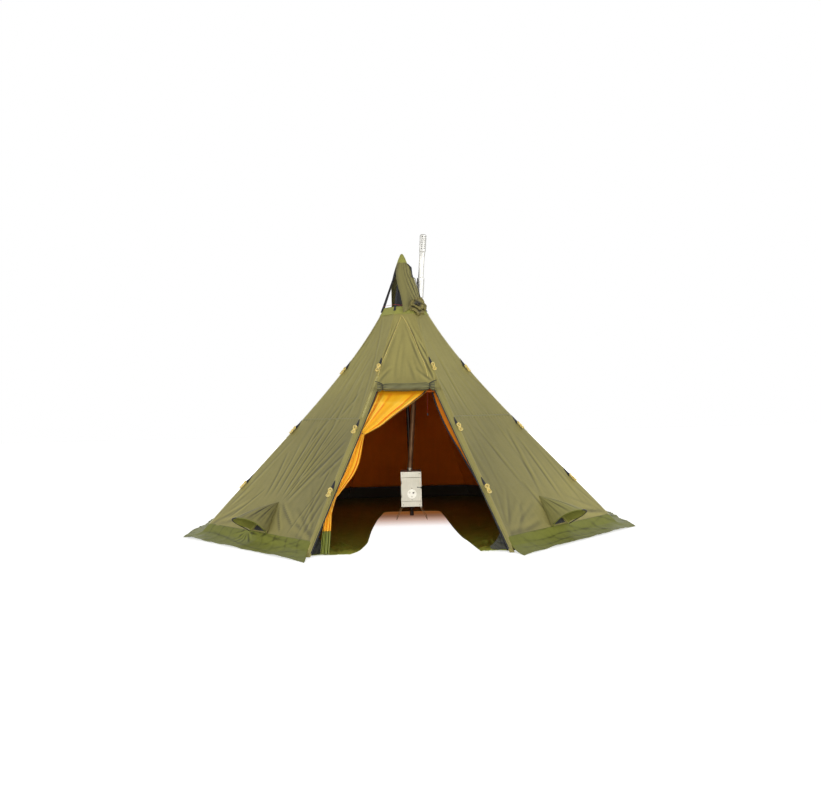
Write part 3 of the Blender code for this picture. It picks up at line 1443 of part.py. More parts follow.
def cap_cords(finishes):
    """Two cords from the cap's front point, one down the left ridge and one to the roll."""
    lift = CAP_CORD_DIAMETER * 0.68 + GAP
    knot = (-0.028, 2.335)
    left = [knot, (-0.062, 2.25), (-0.13, 2.08), (-0.2, 1.9), (-0.262, 1.75), (-0.292, 1.62)]
    right = [knot, (0.02, 2.25), (0.09, 2.08), (0.15, 1.9), (0.205, 1.75), (0.232, 1.62)]
    for name, route in (("cap_cord_left", left), ("cap_cord_right", right)):
        shift = -0.004 if name.endswith("left") else 0.004
        points = [on_side(0, x + shift, z, out=lift).tolist() for x, z in route]
        cap_cord(name, points, finishes["cord"])


def build():
    clear_scene()
    finishes = make_materials()
    for side in range(1, SIDES):
        fly_side(side, finishes["canvas"])
        inner_side(side, finishes["inner"])
    fly_gable(finishes["canvas"])
    door_jamb("door_jamb_left", -1, finishes["canvas"])
    door_jamb("door_jamb_right", 1, finishes["canvas"])
    door_roll(finishes["canvas"])
    roll_tie("roll_tie_left", -1, finishes["webbing"])
    roll_tie("roll_tie_right", 1, finishes["webbing"])
    ridge_straps(finishes["canvas"])
    crown_rim(finishes["lime"])
    crown_webbing(finishes["webbing"])
    cap_body(finishes["canvas"])
    cap_peak(finishes["lime"])
    smoke_mesh(finishes["mesh"])
    cap_cords(finishes)
    inner_front(finishes["inner"])
    inner_crown(finishes["inner"])
    inner_door(finishes["door"])
    ground_sheet(finishes["floor"])
    for name, side in (("left", SIDES - 1), ("right", 1)):
        vent_hood(f"vent_hood_{name}", side, finishes["canvas"])
        vent_stay(f"vent_stay_{name}", side, finishes["plastic"])
    pole_pieces(finishes)
    stove_body(finishes)
    stove_door(finishes)
    draught_disc(finishes)
    door_latch(finishes)
    stove_leg("stove_leg_left", -1, finishes["titanium"])
    stove_leg("stove_leg_right", 1, finishes["titanium"])
    flue_pieces(finishes)
    pull_cord(finishes)


build()
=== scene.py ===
# %% [markdown]
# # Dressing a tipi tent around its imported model
#
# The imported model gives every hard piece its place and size: pole, stove, flue, hinges.
# The cloth in it is only a plain stand-in. This lesson makes the cloth again as numpy
# surfaces, gives every piece a node material, and sets up the photograph's view.
#
# Metres, +Z up. The doorway looks along -Y. Side 0 is the door side and side 2 faces +X.
# Ridge k lies between side k and side k + 1.

# %% Load the frame
import math

import bmesh
import bpy
import numpy as np
from mathutils import Matrix, Vector


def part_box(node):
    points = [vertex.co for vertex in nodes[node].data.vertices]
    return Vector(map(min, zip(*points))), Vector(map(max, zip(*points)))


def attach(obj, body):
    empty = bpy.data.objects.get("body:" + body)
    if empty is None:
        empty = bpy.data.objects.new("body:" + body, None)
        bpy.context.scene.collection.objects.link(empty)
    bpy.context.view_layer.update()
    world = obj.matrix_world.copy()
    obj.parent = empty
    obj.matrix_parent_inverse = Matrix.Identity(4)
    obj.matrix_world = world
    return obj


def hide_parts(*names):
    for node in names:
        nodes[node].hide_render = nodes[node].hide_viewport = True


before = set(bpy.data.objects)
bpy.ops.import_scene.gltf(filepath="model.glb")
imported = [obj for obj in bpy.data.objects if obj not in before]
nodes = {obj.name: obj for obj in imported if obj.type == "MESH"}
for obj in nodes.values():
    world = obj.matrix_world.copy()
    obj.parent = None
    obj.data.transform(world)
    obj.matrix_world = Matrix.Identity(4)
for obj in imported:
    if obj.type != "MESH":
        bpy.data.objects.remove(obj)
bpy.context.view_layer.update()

# %% [markdown]
# ## The camera
#
# A camera could be placed by eye, but the photograph's own lines give it: the tent's
# ridges fix the focal length in pixels, the point that the lens looks at, and a roll of
# a little over a degree. A small shift puts that point off the picture's centre.

# %% Place the camera
PHOTO_WIDE = 821
PHOTO_TALL = 800
FOCAL_PIXELS = 731.0
AIM_PIXEL = (406.5, 411.3)
CAMERA_AWAY = 8.573
CAMERA_HIGH = 1.253
CAMERA_ROLL = 0.024

lens = bpy.data.cameras.new("photo_view")
lens.sensor_fit = "HORIZONTAL"
lens.sensor_width = 36.0
lens.lens = FOCAL_PIXELS * lens.sensor_width / PHOTO_WIDE
lens.shift_x = (PHOTO_WIDE / 2 - AIM_PIXEL[0]) / PHOTO_WIDE
lens.shift_y = (AIM_PIXEL[1] - PHOTO_TALL / 2) / PHOTO_WIDE
camera = bpy.data.objects.new("photo_view", lens)
looking = Matrix(((1, 0, 0), (0, 0, -1), (0, 1, 0))).to_4x4()
place = Matrix.Translation((0.0, -CAMERA_AWAY, CAMERA_HIGH))
camera.matrix_world = place @ looking @ Matrix.Rotation(-CAMERA_ROLL, 4, "Z")
bpy.context.scene.collection.objects.link(camera)
bpy.context.scene.camera = camera
print("camera:", round(lens.lens, 2), "mm lens,", CAMERA_AWAY, "m away")

# %% [markdown]
# ## Surfaces from arrays
#
# Cloth is a surface with two directions, across and down. One grid of points, worked out
# as a whole array, holds it. Modelling tools could do it by hand, but a formula can be
# read, changed and repeated for all eight sides.


# %% Turn a grid of points into a mesh
def metres_over(points):
    """Cloth coordinates in metres: along each row from its middle, and down the rows."""
    steps = np.linalg.norm(np.diff(points, axis=1), axis=2)
    along = np.concatenate([np.zeros((len(points), 1)), np.cumsum(steps, axis=1)], axis=1)
    along -= along[:, -1:] / 2
    drops = np.linalg.norm(np.diff(points, axis=0), axis=2).mean(axis=1)
    down = np.concatenate([[0.0], np.cumsum(drops)])
    return np.stack([along, np.broadcast_to(down[:, None], along.shape)], axis=2)


def grid_of(x, y, z):
    """A grid of points from three arrays that stretch to one size."""
    return np.stack(np.broadcast_arrays(x, y, z), 2)


def surface(name, points, finish, wrap=False, keep=None, away_from=None, merge=False, folds=None):
    """A mesh over a grid of points, rows by columns, with its cloth coordinates.

    Each cell becomes a quad. wrap joins the last column to the first. The faces look
    away from the point away_from; merge closes poles and works the outside out itself.
    folds is how deep in a fold each point lies, from -1 to 1, kept for the finish's painted shade in the
    valleys and painted highlight on the ridges.
    """
    rows, columns = points.shape[:2]
    laid = np.concatenate([points, points[:, :1]], axis=1) if wrap else points
    uv = metres_over(laid)
    row, column = np.meshgrid(
        np.arange(rows - 1), np.arange(laid.shape[1] - 1), indexing="ij"
    )
    if keep is not None:
        row, column = row[keep], column[keep]
    row, column = row.ravel(), column.ravel()
    beside = (column + 1) % columns
    faces = np.stack([
        row * columns + column, row * columns + beside,
        (row + 1) * columns + beside, (row + 1) * columns + column,
    ], 1)
    wide = uv.shape[1]
    corners = np.stack([
        row * wide + column, row * wide + column + 1,
        (row + 1) * wide + column + 1, (row + 1) * wide + column,
    ], 1)
    mesh = bpy.data.meshes.new(name)
    mesh.vertices.add(rows * columns)
    mesh.vertices.foreach_set("co", points.astype(np.float32).ravel())
    mesh.loops.add(faces.size)
    mesh.loops.foreach_set("vertex_index", faces.astype(np.int32).ravel())
    mesh.polygons.add(len(faces))
    mesh.polygons.foreach_set("loop_start", np.arange(0, faces.size, 4, dtype=np.int32))
    layer = mesh.uv_layers.new(name="cloth")
    layer.data.foreach_set("uv", uv.reshape(-1, 2)[corners.ravel()].astype(np.float32).ravel())
    if folds is not None:
        depths = mesh.attributes.new("fold", "FLOAT", "POINT")
        depths.data.foreach_set("value", np.clip(folds, -1, 1).astype(np.float32).ravel())
    mesh.update(calc_edges=True)
    if away_from is not None:
        middle = points.reshape(-1, 3)[faces].mean(axis=1) - np.asarray(away_from)
        normals = np.empty(len(faces) * 3, np.float32)
        mesh.polygons.foreach_get("normal", normals)
        if (normals.reshape(-1, 3) * middle).sum() < 0:
            mesh.flip_normals()
    body = bmesh.new()
    body.from_mesh(mesh)
    if merge:
        bmesh.ops.remove_doubles(body, verts=body.verts, dist=1e-6)
        bmesh.ops.recalc_face_normals(body, faces=body.faces)
    loose = [vertex for vertex in body.verts if not vertex.link_faces]
    bmesh.ops.delete(body, geom=loose, context="VERTS")
    body.to_mesh(mesh)
    body.free()
    mesh.shade_smooth()
    mesh.materials.append(finish)
    made = bpy.data.objects.new(name, mesh)
    bpy.context.scene.collection.objects.link(made)
    return made


def fold_depth(relief, reach, scale):
    """How far each point lies below the mean of its neighbours, over scale.

    The mean is a running sum along both directions of the grid, reach points each way.
    """
    mean = relief
    for axis in (0, 1):
        width = 2 * reach + 1
        edges = [(reach, reach) if k == axis else (0, 0) for k in (0, 1)]
        padded = np.pad(mean, edges, mode="edge")
        total = np.cumsum(padded, axis=axis)
        start = np.zeros_like(np.take(total, [0], axis=axis))
        total = np.concatenate([start, total], axis=axis)
        high = np.take(total, range(width, total.shape[axis]), axis=axis)
        low = np.take(total, range(0, total.shape[axis] - width), axis=axis)
        mean = (high - low) / width
    return np.clip((mean - relief) / scale, -1, 1)


def thicken(made, thick, offset=-1.0):
    """The cloth's own thickness, behind the surface unless offset says otherwise."""
    wall = made.modifiers.new("thickness", "SOLIDIFY")
    wall.thickness = thick
    wall.offset = offset
    return made


def wear(made, body, slot, *stands_for):
    """Says which body a piece rides on and what it replaces; slot is not used."""
    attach(made, body)
    if stands_for:
        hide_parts(*stands_for)
    return made


# %% [markdown]
# ## Cords
#
# A cord is a circle carried along a path. The frame of the circle is passed on from
# station to station without twist, because a frame built from a fixed direction flips
# where the cord turns towards it. Both ends are closed with a small dome.


# %% Carry a circle along a path
def smooth_path(knots, count):
    """A curve through the knots: cubic blending between neighbours, evenly spaced."""
    knots = np.asarray(knots, float)
    ends = np.concatenate([[2 * knots[0] - knots[1]], knots, [2 * knots[-1] - knots[-2]]])
    fine = 12
    t = np.linspace(0, 1, fine, endpoint=False)[:, None]
    a, b, c, d = (ends[i : i + len(knots) - 1, None] for i in range(4))
    bent = 0.5 * (
        2 * b + (c - a) * t + (2 * a - 5 * b + 4 * c - d) * t**2 + (3 * b - a - 3 * c + d) * t**3
    )
    bent = np.concatenate([bent.reshape(-1, 3), knots[-1:]])
    run = np.concatenate([[0], np.cumsum(np.linalg.norm(np.diff(bent, axis=0), axis=1))])
    spots = np.linspace(0, run[-1], count)
    return np.stack([np.interp(spots, run, bent[:, axis]) for axis in range(3)], 1)


def path_length(path):
    return float(np.linalg.norm(np.diff(path, axis=0), axis=1).sum())


def untwisted(path):
    """Two directions across the path at each station, passed on with the least turn."""
    ahead = np.gradient(path, axis=0)
    ahead /= np.linalg.norm(ahead, axis=1, keepdims=True)
    side = np.empty_like(path)
    start = np.eye(3)[np.argmin(np.abs(ahead[0]))]
    side[0] = np.cross(ahead[0], start)
    side[0] /= np.linalg.norm(side[0])
    for station in range(1, len(path)):
        carried = side[station - 1] - ahead[station] * (side[station - 1] @ ahead[station])
        side[station] = carried / np.linalg.norm(carried)
    return side, np.cross(ahead, side), ahead


def tube(name, path, radius, finish, sides=8):
    """A round tube: each station's centre plus radius times a turning direction."""
    side, up, ahead = untwisted(path)
    turn = np.linspace(0, 2 * math.pi, sides, endpoint=False)
    ring = np.cos(turn)[None, :, None] * side[:, None] + np.sin(turn)[None, :, None] * up[:, None]
    radii = np.broadcast_to(np.asarray(radius, float), len(path))
    rings = path[:, None] + radii[:, None, None] * ring
    first = path[0] - ahead[0] * radii[0] * 0.7
    last = path[-1] + ahead[-1] * radii[-1] * 0.7
    grid = np.concatenate([
        np.broadcast_to(first, (1, sides, 3)),
        (path[0] - ahead[0] * radii[0] * 0.5 + radii[0] * 0.7 * ring[0])[None],
        rings,
        (path[-1] + ahead[-1] * radii[-1] * 0.5 + radii[-1] * 0.7 * ring[-1])[None],
        np.broadcast_to(last, (1, sides, 3)),
    ])
    return surface(name, grid, finish, wrap=True, merge=True)


# %% [markdown]
# ## Finishes
#
# A finish is a small graph of nodes. Cloth is never one colour: it fades in patches, it
# has streaks down the panel, and its threads catch the light. The threads are worked out
# in cloth coordinates, so they follow the surface, and the patches in object coordinates,
# so they run on across a seam. Sheen, coat and the like sit on the shader itself.


# %% Helpers for finishes
def linear(red, green, blue):
    """A colour as a screen shows it, 0 to 255, made linear."""
    share = np.array([red, green, blue]) / 255.0
    bent = np.where(share <= 0.04045, share / 12.92, ((share + 0.055) / 1.055) ** 2.4)
    return tuple(float(part) for part in bent)


def shade(colour, by):
    return (*[min(1.0, part * by) for part in colour], 1.0)


def shader_of(made):
    return made.node_tree.nodes["Principled BSDF"]


def new_finish(name, colour, roughness, metallic=0.0, **shader_values):
    """A material with its Principled shader's own sockets set."""
    made = bpy.data.materials.new(name)
    made.use_nodes = True
    shader = shader_of(made)
    shader.inputs["Base Color"].default_value = (*colour, 1.0)
    shader.inputs["Roughness"].default_value = roughness
    shader.inputs["Metallic"].default_value = metallic
    for label, value in shader_values.items():
        shader.inputs[label.replace("_", " ").title().replace("Ior", "IOR")].default_value = value
    return made


def add(made, kind, inputs=(), **settings):
    """A node; inputs are (socket, value or output) pairs."""
    node = made.node_tree.nodes.new(kind)
    for key, value in settings.items():
        setattr(node, key, value)
    for socket, value in dict(inputs).items():
        if isinstance(value, bpy.types.NodeSocket):
            made.node_tree.links.new(value, node.inputs[socket])
        else:
            node.inputs[socket].default_value = value
    return node


def calculate(made, operation, *values):
    """A Math node's result."""
    return add(made, "ShaderNodeMath", enumerate(values), operation=operation).outputs[0]


def over(made, kind):
    """Object or cloth coordinates."""
    return add(made, "ShaderNodeTexCoord").outputs["Object" if kind == "object" else "UV"]


def stretched(made, where, scale):
    return add(made, "ShaderNodeMapping", {"Vector": where, "Scale": scale}).outputs[0]


def noise(made, where, scale, detail=3.0, rough=0.5):
    values = {"Vector": where, "Scale": scale, "Detail": detail, "Roughness": rough}
    return add(made, "ShaderNodeTexNoise", values).outputs[0]


def threads(made, where, spacing, direction):
    """Sine bands: spacing in metres from one thread to the next."""
    scale = 2 * math.pi / (20 * spacing)
    values = {"Vector": where, "Scale": scale, "Distortion": 0.0}
    return add(
        made, "ShaderNodeTexWave", values, wave_type="BANDS", bands_direction=direction
    ).outputs["Fac"]


def sums(made, *terms):
    """The sum of value times weight."""
    total = None
    for value, weight in terms:
        part = calculate(made, "MULTIPLY", value, weight)
        if total is not None:
            part = calculate(made, "ADD", total, part)
        total = part
    return total


def spread(made, value, low, high):
    """A value stretched so that low becomes 0 and high becomes 1."""
    values = {"Value": value, "From Min": low, "From Max": high}
    return add(made, "ShaderNodeMapRange", values, clamp=True).outputs["Result"]


def blend_colours(made, share, first, second):
    values = {"Factor": share, "A": first, "B": second}
    node = add(made, "ShaderNodeMix", data_type="RGBA")
    for label, value in values.items():
        socket = next(s for s in node.inputs if s.name == label and s.enabled)
        if isinstance(value, bpy.types.NodeSocket):
            made.node_tree.links.new(value, socket)
        else:
            socket.default_value = value
    return next(s for s in node.outputs if s.name == "Result" and s.enabled)


def paint(made, colour=None, roughness=None, height=None, depth=0.001, strength=1.0):
    """Links a colour, a roughness and a height to the shader."""
    shader = shader_of(made)
    link = made.node_tree.links.new
    if colour is not None:
        link(colour, shader.inputs["Base Color"])
    if roughness is not None:
        link(roughness, shader.inputs["Roughness"])
    if height is not None:
        values = {"Height": height, "Distance": depth, "Strength": strength}
        link(add(made, "ShaderNodeBump", values).outputs[0], shader.inputs["Normal"])
    return made


# %% [markdown]
# ### Tent cloth
#
# The outer cloth is a fine ripstop: plain threads with a thicker one every few
# millimetres, a dull coat and a slight sheen at grazing angles. A photograph of it
# would show one colour from afar and the grid from near. The same recipe with other
# numbers gives the skirt, the lime lining, the inner tent and the floor.


# %% Cloth recipe
def cloth(name, colour, roughness, thread=0.0008, rib=0.006, fade=0.1, streak=0.06,
          crumple=0.0, sheen=0.15, coat=0.0, see_through=0.0, fold=0.3,
          valley_shade=None, crest_highlight=None):
    """Cloth whose colour fades in patches and streaks, with threads and crumples in relief."""
    made = new_finish(name, colour, roughness, sheen_weight=sheen, sheen_roughness=0.45)
    if coat:
        shader_of(made).inputs["Coat Weight"].default_value = coat
        shader_of(made).inputs["Coat Roughness"].default_value = 0.3
    where, laid = over(made, "object"), over(made, "cloth")
    patches = noise(made, where, 1.7, 4.0)
    streaks = noise(made, stretched(made, laid, (16.0, 1.1, 1.0)), 1.0, 5.0)
    mottle = noise(made, where, 42.0, 2.0)
    mixed = sums(made, (patches, 0.5), (streaks, 0.35), (mottle, 0.15))
    tone = spread(made, mixed, 0.36, 0.64)
    change = fade + streak
    toned = blend_colours(made, tone, shade(colour, 1 - change), shade(colour, 1 + change))
    # a fine thread shows a little lighter than the gap beside it
    across, down = threads(made, laid, thread, "X"), threads(made, laid, thread, "Y")
    grid = [
        spread(made, threads(made, laid, rib, direction), 0.93, 1.0) for direction in ("X", "Y")
    ]
    ribs = calculate(made, "MAXIMUM", grid[0], grid[1])
    woven = blend_colours(made, sums(made, (ribs, 0.22)), toned, shade(colour, 1.18))
    # painted shade darkens the valleys of a fold, and a painted highlight lightens its ridges
    folded = add(made, "ShaderNodeAttribute", attribute_name="fold").outputs["Fac"]
    low = shade(valley_shade or colour, 1 if valley_shade else 1 - 1.6 * fold)
    woven = blend_colours(made, spread(made, folded, 0.0, 1.0), woven, low)
    highlight_share = sums(made, (folded, -1.0))
    high = shade(crest_highlight or colour, 1 if crest_highlight else 1 + fold)
    woven = blend_colours(made, sums(made, (spread(made, highlight_share, 0.0, 1.0), 0.75)), woven, high)
    relief = [(across, 0.12), (down, 0.12), (ribs, 0.18)]
    if crumple:
        relief.append((noise(made, where, 9.0, 6.0, 0.62), 40.0 * crumple))
    dull = sums(made, (noise(made, where, 14.0, 3.0), 0.16), (ribs, -0.03))
    rough = calculate(made, "ADD", dull, roughness - 0.08)
    paint(made, woven, rough, sums(made, *relief), 0.0006, 0.7)
    if see_through:
        glow_through(made, colour, woven, see_through)
    return made


def painted_shade_by_the_door(made, amount):
    """Painted shade: the cloth beside the doorway has the dark room behind it, so its colour is darkened
    there, low down and at the front.
    """
    surface_colour = shader_of(made).inputs["Base Color"]
    split = add(made, "ShaderNodeSeparateXYZ", {0: over(made, "object")}).outputs
    sideways = calculate(made, "ABSOLUTE", split[0])
    outer = spread(made, sideways, 0.75, 1.75)
    higher = spread(made, split[2], 0.9, 1.6)
    behind = spread(made, split[1], -0.8, -0.3)
    clear = calculate(made, "MAXIMUM", outer, higher)
    clear = calculate(made, "MAXIMUM", clear, behind)
    values = {"Value": clear, "To Min": 1 - amount, "To Max": 1.0}
    share = add(made, "ShaderNodeMapRange", values).outputs[0]
    values = {0: surface_colour.links[0].from_socket, "Scale": share}
    darker = add(made, "ShaderNodeVectorMath", values, operation="SCALE")
    made.node_tree.links.new(darker.outputs[0], surface_colour)


def glow_through(made, colour, woven, share):
    """Thin cloth also passes light on, so part of the shader is a translucent one."""
    tree = made.node_tree
    shader, out = tree.nodes["Principled BSDF"], tree.nodes["Material Output"]
    through = add(made, "ShaderNodeBsdfTranslucent", {"Color": woven})
    mix = add(made, "ShaderNodeMixShader", {0: share})
    tree.links.new(shader.outputs[0], mix.inputs[1])
    tree.links.new(through.outputs[0], mix.inputs[2])
    tree.links.new(mix.outputs[0], out.inputs["Surface"])


olive = linear(137, 129, 70)
outer_cloth = cloth("olive_tent_cloth", olive, 0.6, sheen=0.06)
gable_cloth = cloth("olive_gable_cloth", linear(140, 131, 72), 0.6, sheen=0.06)
painted_shade_by_the_door(outer_cloth, 0.35)
roll_cloth = cloth("olive_rolled_cloth", linear(98, 95, 54), 0.62, fade=0.14, sheen=0.04, fold=0.42)
hood_cloth = cloth("olive_hood_cloth", linear(126, 122, 66), 0.62, fade=0.14, sheen=0.05, fold=0.36)
bunch_cloth = cloth("olive_gathered_cloth", linear(112, 102, 48), 0.6, sheen=0.0, fold=0.58)
strip_cloth = cloth(
    "orange_strip_cloth", linear(255, 150, 24), 0.6, rib=0.005, fade=0.06, sheen=0.0, see_through=0.3,
)
# painted shade: a darker copy of the floor cloth for the folded corners beside the doorway
corner_cloth = cloth(
    "floor_corner_cloth", linear(50, 50, 16), 0.6, fade=0.2, crumple=0.04, sheen=0.0, fold=0.55,
)
skirt_cloth = cloth(
    "green_skirt_cloth", linear(110, 113, 48), 0.5, fade=0.12, crumple=0.02, coat=0.08, sheen=0.05,
    fold=0.4,
)
shader_of(skirt_cloth).inputs["Specular IOR Level"].default_value = 0.08
lime_cloth = cloth("lime_lining_cloth", linear(142, 142, 64), 0.6, sheen=0.05)
inner_cloth = cloth(
    "orange_inner_cloth", linear(250, 122, 14), 0.6, rib=0.005, fade=0.06, sheen=0.0, see_through=0.3,
)
# painted light: the inner door is a brighter, yellower copy of the orange inner cloth, with painted shade in
# its fold valleys and painted highlights on its crests
drape_cloth = cloth(
    "bright_inner_door_cloth", linear(255, 182, 22), 0.5, rib=0.005, fade=0.05, crumple=0.006,
    sheen=0.0, valley_shade=linear(226, 108, 6), crest_highlight=linear(255, 208, 76),
)
floor_cloth = cloth(
    "coated_floor_cloth", linear(84, 94, 22), 0.32, fade=0.2, crumple=0.03, coat=0.4, sheen=0.0,
    fold=0.4, crest_highlight=linear(168, 174, 72),
)
tub_cloth = cloth("dark_tub_cloth", linear(62, 56, 46), 0.5, fade=0.15, sheen=0.05)
print("cloth finishes:", [m.name for m in bpy.data.materials if "cloth" in m.name])

# %% [markdown]
# ### Webbing, cord, mesh and stitching
#
# Webbing is a flat weave with a herringbone that shows as short slanted bands. Cord is
# braided, so its strands wind round it in two directions. Smoke-hole mesh is so fine that
# dark cloth with a dotted relief stands for it. Stitching is a row of dashes on a seam.


# %% Webbing, cord and seam recipes
def webbing(name, colour):
    """Slanted bands that change direction at the middle of the strap."""
    made = new_finish(name, colour, 0.85)
    laid = over(made, "cloth")
    split = add(made, "ShaderNodeSeparateXYZ", {0: laid})
    folded = calculate(made, "ABSOLUTE", split.outputs[0])
    slanted = add(made, "ShaderNodeCombineXYZ", {0: sums(made, (folded, 1.0), (split.outputs[1], 1.0))})
    bands = threads(made, slanted.outputs[0], 0.0022, "X")
    rows = threads(made, laid, 0.0014, "X")
    wear_off = spread(made, noise(made, laid, 90.0, 4.0), 0.35, 0.7)
    tone = sums(made, (bands, 0.6), (wear_off, 0.4))
    shown = blend_colours(made, tone, shade(colour, 0.75), shade(colour, 1.6))
    return paint(made, shown, None, sums(made, (bands, 0.6), (rows, 0.4)), 0.0004, 0.8)


def braid(name, colour, fleck):
    """Two sets of strands that wind round the cord, and a fleck of another colour."""
    made = new_finish(name, colour, 0.6, sheen_weight=0.25, sheen_roughness=0.4)
    laid = over(made, "cloth")
    split = add(made, "ShaderNodeSeparateXYZ", {0: laid})
    wound = []
    for hand in (1.0, -1.0):
        slanted = sums(made, (split.outputs[0], hand), (split.outputs[1], 1.0))
        strands = add(made, "ShaderNodeCombineXYZ", {0: slanted}).outputs[0]
        wound.append(threads(made, strands, 0.0026, "X"))
    crossed = calculate(made, "MULTIPLY", wound[0], wound[1])
    flecks = spread(made, threads(made, laid, 0.021, "Y"), 0.9, 0.95)
    toned = blend_colours(made, crossed, shade(colour, 0.78), shade(colour, 1.1))
    shown = blend_colours(made, sums(made, (flecks, 0.7)), toned, (*fleck, 1.0))
    return paint(made, shown, None, crossed, 0.0003, 0.8)


def stitched(name, base, thread_colour, rows, length=0.0045):
    """Seam cloth with rows of stitches: dashes where the distance from a row is small."""
    made = new_finish(name, base, 0.6, sheen_weight=0.15, sheen_roughness=0.45)
    laid = over(made, "cloth")
    split = add(made, "ShaderNodeSeparateXYZ", {0: laid})
    dashes = spread(made, threads(made, laid, length, "Y"), 0.3, 0.4)
    marks = None
    for row in rows:
        off = calculate(made, "SUBTRACT", split.outputs[0], row)
        near = calculate(made, "ABSOLUTE", off)
        on_row = spread(made, near, 0.0009, 0.0004)
        mark = calculate(made, "MULTIPLY", on_row, dashes)
        if marks is not None:
            mark = calculate(made, "MAXIMUM", marks, mark)
        marks = mark
    worn = spread(made, noise(made, over(made, "object"), 8.0, 4.0), 0.3, 0.7)
    toned = blend_colours(made, worn, shade(base, 0.88), shade(base, 1.12))
    shown = blend_colours(made, marks, toned, (*thread_colour, 1.0))
    fine = threads(made, laid, 0.0008, "X")
    return paint(made, shown, None, sums(made, (marks, 1.0), (fine, 0.15)), 0.0006, 0.8)


black_webbing = webbing("black_webbing", linear(27, 27, 31))
guy_cord = braid("pale_guy_cord", linear(255, 224, 112), linear(255, 250, 230))
red_cord = braid("red_pull_cord", linear(176, 40, 30), linear(120, 20, 16))
seam_cloth = stitched("olive_seam", linear(176, 170, 126), linear(110, 104, 66), (-0.006, 0.006))
hem_seam = stitched("olive_hem_seam", linear(120, 114, 60), linear(82, 78, 40), (0.0,))
gold_tape = stitched("pale_zip_tape", linear(206, 196, 126), linear(150, 138, 80), (0.0,))
dark_edge = stitched("black_edge_binding", linear(20, 20, 22), linear(40, 41, 43), (0.0,))


def fine_mesh(name, colour):
    """Knitted mesh: a relief of small holes over dark thread."""
    made = new_finish(name, colour, 0.8, sheen_weight=0.1)
    laid = over(made, "cloth")
    holes = sums(made, (threads(made, laid, 0.002, "X"), 0.5), (threads(made, laid, 0.002, "Y"), 0.5))
    shown = blend_colours(made, spread(made, holes, 0.25, 0.75), shade(colour, 0.3), shade(colour, 1.5))
    return paint(made, shown, None, holes, 0.0008, 1.0)


mesh_cloth = fine_mesh("black_mesh", linear(30, 30, 32))
print("trim finishes are ready")

# %% [markdown]
# ### Metal and plastic
#
# Rolled sheet metal shows fine scratches along the way it was rolled and soft dents
# where it was bent flat for packing. The lower flue's warm, brown patches are a painted
# reflection of the orange inner tent. Moulded plastic has a faint grain and lighter rubbed edges.


# %% Metal and plastic recipes
def sheet_metal(name, colour, stain, roughness, scratch, dent, stain_share=0.5):
    """Stretched noise for scratches, slow noise for dents and stains."""
    made = new_finish(name, colour, roughness, 1.0)
    where = over(made, "object")
    fine = noise(made, stretched(made, where, scratch), 1.0, 6.0, 0.7)
    slow = noise(made, where, 7.0, 3.0)
    stained = spread(made, noise(made, stretched(made, where, (3.0, 3.0, 5.0)), 1.0, 4.0), 0.42, 0.68)
    toned = blend_colours(made, spread(made, fine, 0.3, 0.7), shade(colour, 0.86), shade(colour, 1.08))
    shown = blend_colours(made, sums(made, (stained, stain_share)), toned, (*stain, 1.0))
    rough = sums(made, (fine, 0.28), (slow, 0.1))
    lifted = calculate(made, "ADD", rough, roughness - 0.19)
    return paint(made, shown, lifted, sums(made, (fine, 0.05), (slow, dent)), 0.004, 0.6)


def moulded(name, colour, roughness):
    made = new_finish(name, colour, roughness)
    grain = noise(made, over(made, "object"), 900.0, 3.0)
    rubbed = spread(made, noise(made, over(made, "object"), 30.0, 3.0), 0.45, 0.75)
    shown = blend_colours(made, rubbed, shade(colour, 0.85), shade(colour, 1.7))
    return paint(made, shown, None, grain, 0.0002, 0.5)


stove_metal = sheet_metal(
    "satin_stove_metal", linear(198, 194, 178), linear(150, 138, 112), 0.5, (220.0, 220.0, 9.0), 0.9, 0.5
)
# painted reflection: the lower flue's brown colour and stains stand in for the orange inner tent seen in the
# metal
lower_flue_metal = sheet_metal(
    "orange_reflection_flue_metal", linear(150, 112, 74), linear(96, 58, 30), 0.55, (160.0, 160.0, 6.0), 0.25, 0.7
)
shader_of(lower_flue_metal).inputs["Metallic"].default_value = 0.45
wire_metal = sheet_metal(
    "brown_wire_metal", linear(138, 112, 80), linear(92, 70, 48), 0.45, (200.0, 200.0, 200.0), 0.05, 0.5
)
flue_metal = sheet_metal(
    "rolled_flue_metal", linear(196, 194, 188), linear(160, 152, 140), 0.46, (160.0, 160.0, 6.0), 0.25, 0.5
)
cage_metal = sheet_metal(
    "bright_cage_metal", linear(186, 185, 180), linear(140, 134, 124), 0.45, (160.0, 160.0, 6.0), 0.2, 0.4
)
pole_metal = sheet_metal(
    "dark_pole_metal", linear(66, 58, 54), linear(44, 36, 32), 0.5, (200.0, 200.0, 4.0), 0.05, 0.3
)
disc_metal = sheet_metal(
    "pale_disc_metal", linear(224, 221, 208), linear(200, 194, 176), 0.5, (90.0, 90.0, 90.0), 0.2, 0.4
)
black_plastic = moulded("black_plastic", linear(26, 26, 27), 0.42)
print("hard finishes are ready")

# %% [markdown]
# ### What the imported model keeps
#
# Pole, stove and flue are hard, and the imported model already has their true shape. They
# stay as they are and only get their finish.

# %% Dress the hard nodes
HARD_FINISHES = {
    "pole_lower": pole_metal, "pole_upper": pole_metal,
    "pole_foot": black_plastic, "pole_head": black_plastic, "clamp_lever": black_plastic,
    "stove_body": stove_metal, "stove_door": stove_metal, "draught_disc": disc_metal,
    "door_latch": black_plastic, "stove_leg_left": wire_metal, "stove_leg_right": wire_metal,
    "flue_lower": lower_flue_metal, "flue_upper": flue_metal, "flue_guard": cage_metal,
    "spark_arrestor": cage_metal, "vent_stay_left": black_plastic, "vent_stay_right": black_plastic,
    "pull_toggle": black_plastic,
}


